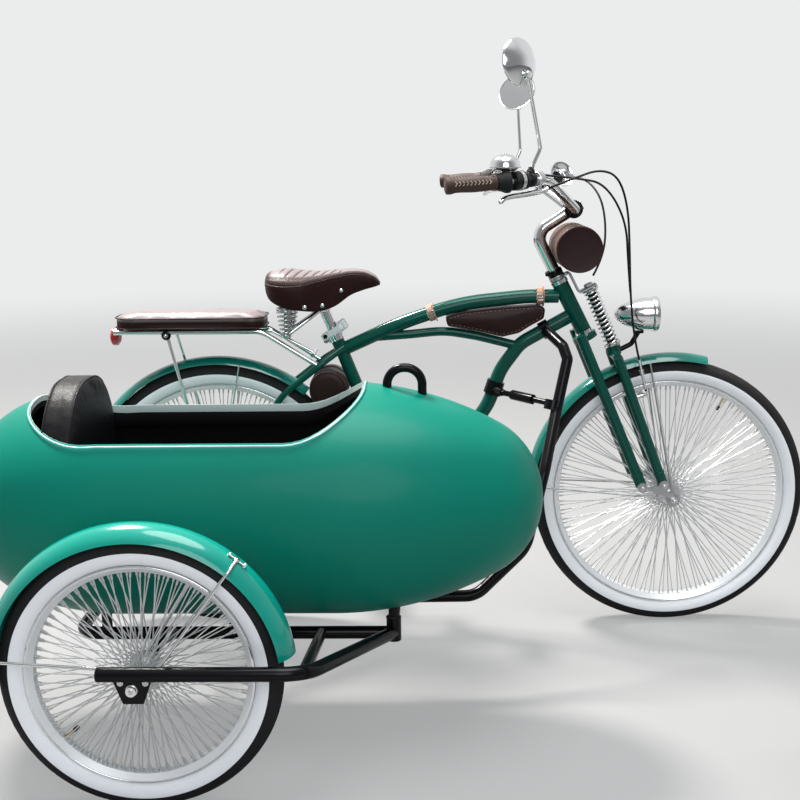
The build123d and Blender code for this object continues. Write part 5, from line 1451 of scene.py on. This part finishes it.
def make_headlamp():
    """A shell as deep as the 2.7th power of its radius, a bezel, a fluted lens and a bulb."""
    back, ahead, turn = steered(0, 85), (1, 0, 0), 1.25
    shell = [(0.5, 0)] + [(40 * p ** 0.5, 66 * p ** 1.35) for p in np.linspace(0.02, 1, 22)]
    shell += [(40.4, 88), (38, 88.5), (34, 60), (10, 12), (0.5, 9)]
    add_piece("headlamp_shell", lathed(back, ahead, shell, 72), "steering", CHROME, "headlamp")
    bezel = [(39, 86), (43.0, 90.5), (43.6, 94), (43.4, 99), (42, 102.5), (39.6, 103.6),
             (38.2, 102), (38.2, 88), (39, 86)]
    add_piece("headlamp_bezel", lathed(back, ahead, bezel, 72), "steering", CHROME)
    arc = [(38.6 * math.sin(a) / math.sin(turn),
            97 + 9.4 * (math.cos(a) - math.cos(turn)) / (1 - math.cos(turn)))
           for a in np.linspace(0.03, turn, 14)[::-1]]
    lens = [(38.0, 94.5)] + [(r, h) for r, h in arc if r < 38.4]
    add_piece("headlamp_lens", lathed(back, ahead, lens + [(0.4, lens[-1][1])], 72), "steering",
              LENS_GLASS)
    bulb = [(0.4, 60)] + [(7 * math.sin(a), 70 - 8 * math.cos(a))
                          for a in np.linspace(0.3, 2.8, 10)] + [(0.4, 78)]
    add_piece("headlamp_bulb", lathed(back, ahead, bulb, 28), "steering", WHITE_WALL)


def make_cable(name, route):
    """A curve drawn towards each point of its route, as thick as the cable's cover."""
    data = bpy.data.curves.new(name, "CURVE")
    data.dimensions = "3D"
    data.bevel_depth, data.bevel_resolution, data.use_fill_caps = CABLE_R * MM, 3, True
    line = data.splines.new("NURBS")
    line.points.add(len(route) - 1)
    places = [steered(*place) * MM + ORIGIN for place in route]
    for point, place in zip(line.points, places):
        point.co = (*place, 1)
    line.order_u, line.use_endpoint_u, line.resolution_u = 3, True, 12
    data.materials.append(BLACK_PLASTIC)
    cable = placed(name, data)
    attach(cable, "steering")
    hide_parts("cables")


def make_cable_barrels():
    """Plated barrels where the brake's cable comes down to its arm, with a knurled nut."""
    high, low = steered(-112, 83, -74), steered(-184, 67, -65)
    outlines = ([(3, 26), (5.6, 26.6), (5.6, 34.4), (3, 35)], [(3, -1), (4.6, -0.6), (4.6, 9),
                                                               (3, 9.6)])
    add_piece("brake_barrels", [rod(high, low, 3.5, 16)]
              + [lathed(high, low - high, outline, 20) for outline in outlines],
              "steering", CHROME)


def make_spring_strap():
    """The bent plate from the headset to the top of the fork's spring, its collar and its nut."""
    way = rounded([steered(143.5, 15), steered(143.5, 30.6), steered(87.8, 31),
                   steered(87.8, 76)], (5, 5), 12)
    section = [(-16, -2.5), (-17, -1.8), (-17, 1.8), (-16, 2.5), (16, 2.5), (17, 1.8),
               (17, -1.8), (16, -2.5)]
    ring = lathed(steered(139, 0), steered(150, 0) - steered(139, 0),
                  [(13.2, 0.2), (19.2, 0.2), (20, 1), (20, 10), (19.2, 10.8), (13.2, 10.8)], 48)
    nut = hexagon_nut(steered(90.2, 58.3), SPRING_TOP - SPRING_FOOT, 19, 8)
    add_piece("spring_strap", [swept(way, section), ring, nut], "steering", LINK_METAL,
              "spring_bracket")


def make_roll_bag():
    """A leather barrel on the stem: ribbed bands round it, a piped rim and a flat end."""
    half, ribs = 89.5, (14, 24, 34, 44)
    start = centre_of("roll_bag") - LEFT * half
    outline = [(0.5, 3), (34, 2.4), (46, 1.2), (51, 0.4), (54, 3)]
    for place in ribs:
        outline += [(radius, place + shift) for radius, shift in (
            (53.2, -5), (52.4, -4.4), (53.8, -2.5), (54.6, 0), (53.8, 2.5), (52.4, 4.4),
            (53.2, 5))]
    whole = doubled(outline + [(53.4, half)])
    add_piece("roll_bag_leather", lathed(start, LEFT, whole, 88), "steering", MAROON, "roll_bag")
    add_piece("roll_bag_piping", rings_about_y(start, (2, 2 * half - 2),
                                               circle(1.8, 8) + [52.4, 0], 110),
              "steering", STRAP_DARK)
    places = [y for near in (*ribs, 62) for y in (near, 2 * half - near)]
    add_piece("roll_bag_bands", rings_about_y(start, places, [(53.6, -1.9), (54.9, -1.5),
                                                              (54.9, 1.5), (53.6, 1.9)], 110),
              "steering", BAND_LEATHER)
    clamp = steered(150, 0)
    ring = [(15.4, 0), (18, 0.4), (19, 2), (19, 13), (18, 15), (15.4, 15.4)]
    add_piece("stem_clamp", lathed(clamp, steered(151, 0) - clamp, ring, 40), "steering",
              BLACK_ENAMEL)
    knob = clamp + [-22, -2, 4]
    add_piece("stem_clamp_knob", [rod(clamp, knob, 3, 12), block(knob, (9, 20, 12), 0.5, 20, 12)],
              "steering", BLACK_PLASTIC)


def make_fork_spring():
    """The fork's coil spring round a black core, between two cups on its rod."""
    top, foot = SPRING_TOP, SPRING_FOOT
    way = top - foot
    add_piece("fork_spring_coil", helix(foot, top, (15.6, 15.6), 3.0, 14.5, 12), "steering",
              CHROME, "fork_spring")
    core = [(0.5, 4), (10.4, 4), (10.4, 110), (11.4, 111), (11.4, 148), (0.5, 148)]
    add_piece("fork_spring_core", lathed(foot, way, core, 32), "steering", BLACK_PLASTIC)
    cup = [(6, 0.2), (20, 0.2), (21, 1.2), (21, 5), (19.8, 5.4), (19.4, 2), (6, 1.8)]
    add_piece("fork_spring_seats", [rod(foot, top, 6.5, 20), lathed(foot, way, cup, 48),
                                    lathed(top, -way, cup, 48)], "steering", SATIN_METAL)


def make_fork_fittings():
    """Turned sleeves at the legs' lower ends, and pivot bolts."""
    sleeves, bolts = [], []
    for side in (-1, 1):
        for pivot, top, r in (((-401, -44), (2, -15), 13.6), ((-420, 5), (-88, 41), 12.6)):
            low = steered(*pivot, 60 * side)
            sleeves.append(lathed(low, steered(*top, 60 * side) - low, [
                (3, -0.4), (r - 1, -0.2), (r, 1), (r, 27), (r + 1.4, 28), (r + 1.4, 33),
                (r - 0.8, 34)], 32))
            place = steered(*pivot, (LINK_Y + 5.2) * side)
            bolts.append(hexagon_nut(place, LEFT * side, 13, 5.5))
            bolts.append(dome(place + LEFT * side * 5.4, LEFT * side, 4.2, 2.4))
    add_piece("fork_sleeves", sleeves, "steering", FRAME_PAINTED_SHADE_GREEN)
    add_piece("fork_pivot_bolts", bolts, "steering", SATIN_METAL)


def make_axle_nuts():
    """Washers, six-sided nuts and domed caps that take the place of the plain axle ends."""
    for name, body, left, right in (("front", "steering", 79.4, 79.4),
                                    ("rear", "frame", 65.4, 73.4)):
        hub = HUBS[name]
        parts = [rod(hub - LEFT * (right + 13), hub + LEFT * (left + 13), 5, 20)]
        for side, reach in ((LEFT, left), (-LEFT, right)):
            parts.append(lathed(hub + side * reach, side, washer(5, 8.8, 1.4), 32))
            parts.append(hexagon_nut(hub + side * (reach + 1.4), side, 15.4, 7.6))
            parts.append(dome(hub + side * (reach + 12.6), side, 4.9, 4.0))
        add_piece(name + "_axle_nuts", parts, body, SATIN_METAL, name + "_axle")


make_grips()
make_housings()
make_bar_clamp()
make_levers()
make_mirrors()
make_bell()
make_horn()
make_headlamp()
for cord_name, (cord_length, cord_route) in CORDS.items():
    make_cable(cord_name, cord_route)
make_cable_barrels()
make_spring_strap()
make_roll_bag()
make_fork_spring()
make_fork_fittings()
make_axle_nuts()


# Crank, chain and pedals
CHAIN_Y = -46
CHAINRING_R = 84
COG_R = 34
CHAIN_PITCH = 12.7
PEDAL_START = 80


def chain_path(step):
    """The chain's middle line: two straight runs tangent to the chainring and the cog."""
    big, small = CHAINRING_R + 4, COG_R + 4
    front, rear = BRACKET[[0, 2]], HUBS["rear"][[0, 2]]
    line = front - rear
    tilt, dip = math.atan2(line[1], line[0]), math.asin((big - small) / np.linalg.norm(line))
    upper, lower = tilt + math.pi / 2 + dip, tilt - math.pi / 2 - dip
    path = np.concatenate([centre + radius * np.stack([np.cos(angle), np.sin(angle)], -1)
                           for centre, radius, angle in (
                               (front, big, np.linspace(upper, lower, 60)),
                               (rear, small, np.linspace(lower, upper - 2 * math.pi, 40)))])
    return even(np.vstack([path, path[:1]]), step)


def make_chain():
    """Links half an inch apart: a roller at each joint, narrow and wide pairs of side plates."""
    joints = chain_path(CHAIN_PITCH)
    if len(joints) % 2:
        joints = chain_path(CHAIN_PITCH * len(joints) / (len(joints) - 1))
    places = upright(joints, CHAIN_Y)
    after = np.roll(places, -1, 0)
    way = unit(after - places)
    up = np.cross(way, LEFT)
    parts = [rods(places - LEFT * 2.2, places + LEFT * 2.2, 3.8, 10),
             rods(places - LEFT * 4.3, places + LEFT * 4.3, 1.8, 8)]
    angle = np.linspace(0, 2 * math.pi, 14, endpoint=False)[None, :, None]
    reach = np.where(np.cos(angle) > 0, 1, 0)
    for out, offset, first in ((1, 2.2, 0), (1, 3.1, 1), (-1, 2.2, 0), (-1, 3.1, 1)):
        start, end, along, above = (rows[first::2, None] for rows in (places, after, way, up))
        ring = start * (1 - reach) + end * reach + 3.9 * (along * np.cos(angle)
                                                          + above * np.sin(angle))
        parts.append(prisms(ring + LEFT * out * offset, ring + LEFT * out * (offset + 0.8)))
    add_piece("chain_links", parts, "frame", CHAIN_METAL, "chain")


def toothed(centre, radius, teeth, inner):
    """A toothed ring: its outer radius swings as a power of a cosine, once for each tooth."""
    angle = np.linspace(0, 2 * math.pi, teeth * 8, endpoint=False)
    tip = radius + 6.0 * np.maximum(np.cos(angle * teeth), 0) ** 1.4 - 0.5
    points = np.stack([np.stack([(inner + (tip - inner) * grow) * np.cos(angle),
                                 np.full(len(angle), CHAIN_Y + half * 1.5),
                                 (inner + (tip - inner) * grow) * np.sin(angle)], -1)
                       for grow, half in ((0, -1), (1, -1), (1, 1), (0, 1))], 1)
    return grid(points + np.asarray(centre, float) * [1, 0, 1], True, True)


def make_teeth():
    """The chainring's teeth turn with the crank and the cog's with the rear wheel."""
    add_piece("chainring_teeth", toothed(BRACKET, CHAINRING_R - 1, 44, CHAINRING_R - 8), "crank",
              CHROME)
    add_piece("cog_teeth", toothed(HUBS["rear"], COG_R - 1, 18, 16), "rear_wheel", SATIN_METAL)


def make_pedals():
    """Ribbed rubber treads on a steel cage, with blank amber plates front and back."""
    for side, body in ((-1, "right_pedal"), (1, "left_pedal")):
        axis = np.array([centre_of(body)[0], 0, BRACKET[2]])

        def at(out, across=0.0):
            return axis + [across, side * out, 0]

        middle = PEDAL_START + 46
        cage = [rod(at(61), at(PEDAL_START + 88), 4, 20),
                rod(at(PEDAL_START), at(PEDAL_START + 90), 8, 24)]
        cage += [block(at(middle, across), (2.4, 88, 14), 0.2, 24, 12) for across in (-37.6, 37.6)]
        cage += [block(at(PEDAL_START + end), (76, 2.6, 18), 0.25, 24, 12) for end in (1.4, 90.6)]
        add_piece(body + "_cage", cage, body, SATIN_METAL, body)
        rubber = []
        for across in (-22, 22):
            rubber.append(block(at(middle, across), (19, 84, 20), 0.3, 28, 14))
            rubber += [block(at(middle, across) + LEFT * rib, (20.5, 4.4, 23.6), 0.35, 16, 8)
                       for rib in np.linspace(-36, 36, 10)]
        add_piece(body + "_rubber", rubber, body, BLACK_RUBBER)
        amber = [block(at(middle, across), (1.6, 58, 11), 0.3, 20, 10) for across in (-38.2, 38.2)]
        add_piece(body + "_reflectors", amber, body, AMBER)


make_chain()
make_teeth()
make_pedals()


# Camera, light and floor
CAMERA_PLACE = Vector((0.0004, -2.4981, 1.1469))
CAMERA_TURN = -0.0225
CAMERA_DOWN = 0.2027
CAMERA_ROLL = -0.0117
CAMERA_LENS = 51.958
WORLD_LIGHT = 0.4
FLOOR_TONE = (0.30, 0.30, 0.30)
FLOOR_REACH = 14.0
BACKDROP_TONE = (0.834, 0.8385, 0.8428)


def make_camera():
    """Axes from the turn about Z, the tilt down and the roll about the line of sight."""
    turn, down, roll = CAMERA_TURN, CAMERA_DOWN, CAMERA_ROLL
    ahead = np.array([math.sin(turn) * math.cos(down), math.cos(turn) * math.cos(down),
                      -math.sin(down)])
    right = np.array([math.cos(turn), -math.sin(turn), 0])
    below = np.cross(ahead, right)
    across = math.cos(roll) * right - math.sin(roll) * below
    above = -(math.sin(roll) * right + math.cos(roll) * below)
    data = bpy.data.cameras.new("photo_camera")
    data.lens, data.sensor_width, data.sensor_fit = CAMERA_LENS, 36, "HORIZONTAL"
    camera = placed("photo_camera", data)
    axes = Matrix((across, above, -ahead)).transposed().to_4x4()
    camera.matrix_world = Matrix.Translation(CAMERA_PLACE) @ axes
    bpy.context.scene.camera = camera


def area_light(name, place, target, size, watts, colour=(1, 1, 1)):
    """A round area light aimed at a place."""
    data = bpy.data.lights.new(name, "AREA")
    data.shape, data.size, data.energy, data.color = "DISK", size, watts, colour
    light = placed(name, data)
    light.location = place
    light.rotation_euler = (Vector(target) - Vector(place)).to_track_quat("-Z", "Y").to_euler()


def blended(tree, share, first, second, output):
    """Feeds an output with one shader or the other."""
    blend = tree.nodes.new("ShaderNodeMixShader")
    for socket, value in zip(blend.inputs, (share, first, second)):
        tree.links.new(value, socket)
    tree.links.new(blend.outputs[0], output.inputs["Surface"])


def make_world():
    """Even light; the camera, metal and glass see a pale room that is dimmer behind the camera."""
    world = bpy.data.worlds.new("studio")
    bpy.context.scene.world = world
    world.use_nodes = True
    tree = world.node_tree
    nodes, links = tree.nodes, tree.links
    nodes.clear()
    path = nodes.new("ShaderNodeLightPath")
    seen = maths(tree, "MAXIMUM", path.outputs["Is Camera Ray"],
                 path.outputs["Is Transmission Ray"])
    seen = maths(tree, "MAXIMUM", seen, path.outputs["Is Glossy Ray"])
    way, parts = nodes.new("ShaderNodeTexCoord"), nodes.new("ShaderNodeSeparateXYZ")
    links.new(way.outputs["Generated"], parts.inputs[0])
    tones = [mapped(tree, parts.outputs["Y"], -0.8, 0.4, 0.28, 0.86),
             mapped(tree, parts.outputs["Z"], 0.5, 0.97, 0.0, 1.0)]
    flat = maths(tree, "MULTIPLY", path.outputs["Is Camera Ray"], BACKDROP_TONE[0])
    light, backdrop = nodes.new("ShaderNodeBackground"), nodes.new("ShaderNodeBackground")
    set_sockets(light, {"Color": (0.93, 0.96, 1.0), "Strength": WORLD_LIGHT})
    set_sockets(backdrop, {"Color": (0.97, 0.975, 0.98)})
    links.new(maths(tree, "MAXIMUM", maths(tree, "MAXIMUM", *tones), flat),
              backdrop.inputs["Strength"])
    blended(tree, seen, light.outputs[0], backdrop.outputs[0],
            nodes.new("ShaderNodeOutputWorld"))


def make_floor():
    """A wide pale floor, which the camera sees partly by its own tone, and wholly so far away."""
    mesh = bpy.data.meshes.new("floor")
    corners = [(x * FLOOR_REACH, y * FLOOR_REACH, 0) for x, y in ((-1, -1), (1, -1), (1, 1),
                                                                  (-1, 1))]
    mesh.from_pydata(corners, [], [(0, 1, 2, 3)])
    floor = placed("floor", mesh)
    material = finish("pale_floor", FLOOR_TONE, tuple(0.97 * c for c in FLOOR_TONE), 0.85,
                      dust=0.0, clouds=1.5, scuffs=90.0)
    tree = material.node_tree
    nodes, links = tree.nodes, tree.links
    path, place = nodes.new("ShaderNodeLightPath"), nodes.new("ShaderNodeTexCoord")
    distance = nodes.new("ShaderNodeVectorMath")
    distance.operation = "LENGTH"
    links.new(place.outputs["Object"], distance.inputs[0])
    own = nodes.new("ShaderNodeEmission")
    own.inputs["Color"].default_value = (*BACKDROP_TONE, 1)
    share = maths(tree, "MULTIPLY", mapped(tree, distance.outputs["Value"], 1.8, 9.0, 0.38, 1.0),
                  path.outputs["Is Camera Ray"])
    blended(tree, share, nodes["Principled BSDF"].outputs[0], own.outputs[0],
            nodes["Material Output"])
    mesh.materials.append(material)


make_camera()
make_world()
make_floor()
area_light("key", (-1.7, 1.5, 4.2), (0, -0.2, 0.4), 1.0, 420, (1.0, 0.97, 0.92))
area_light("overhead", (0.3, -0.5, 4.4), (0, -0.3, 0.3), 2.6, 130)
area_light("front_fill", (0.4, -3.7, 2.4), (0.1, 0, 0.5), 2.6, 58, (0.94, 0.97, 1.0))
bpy.context.scene.view_settings.view_transform = "Standard"
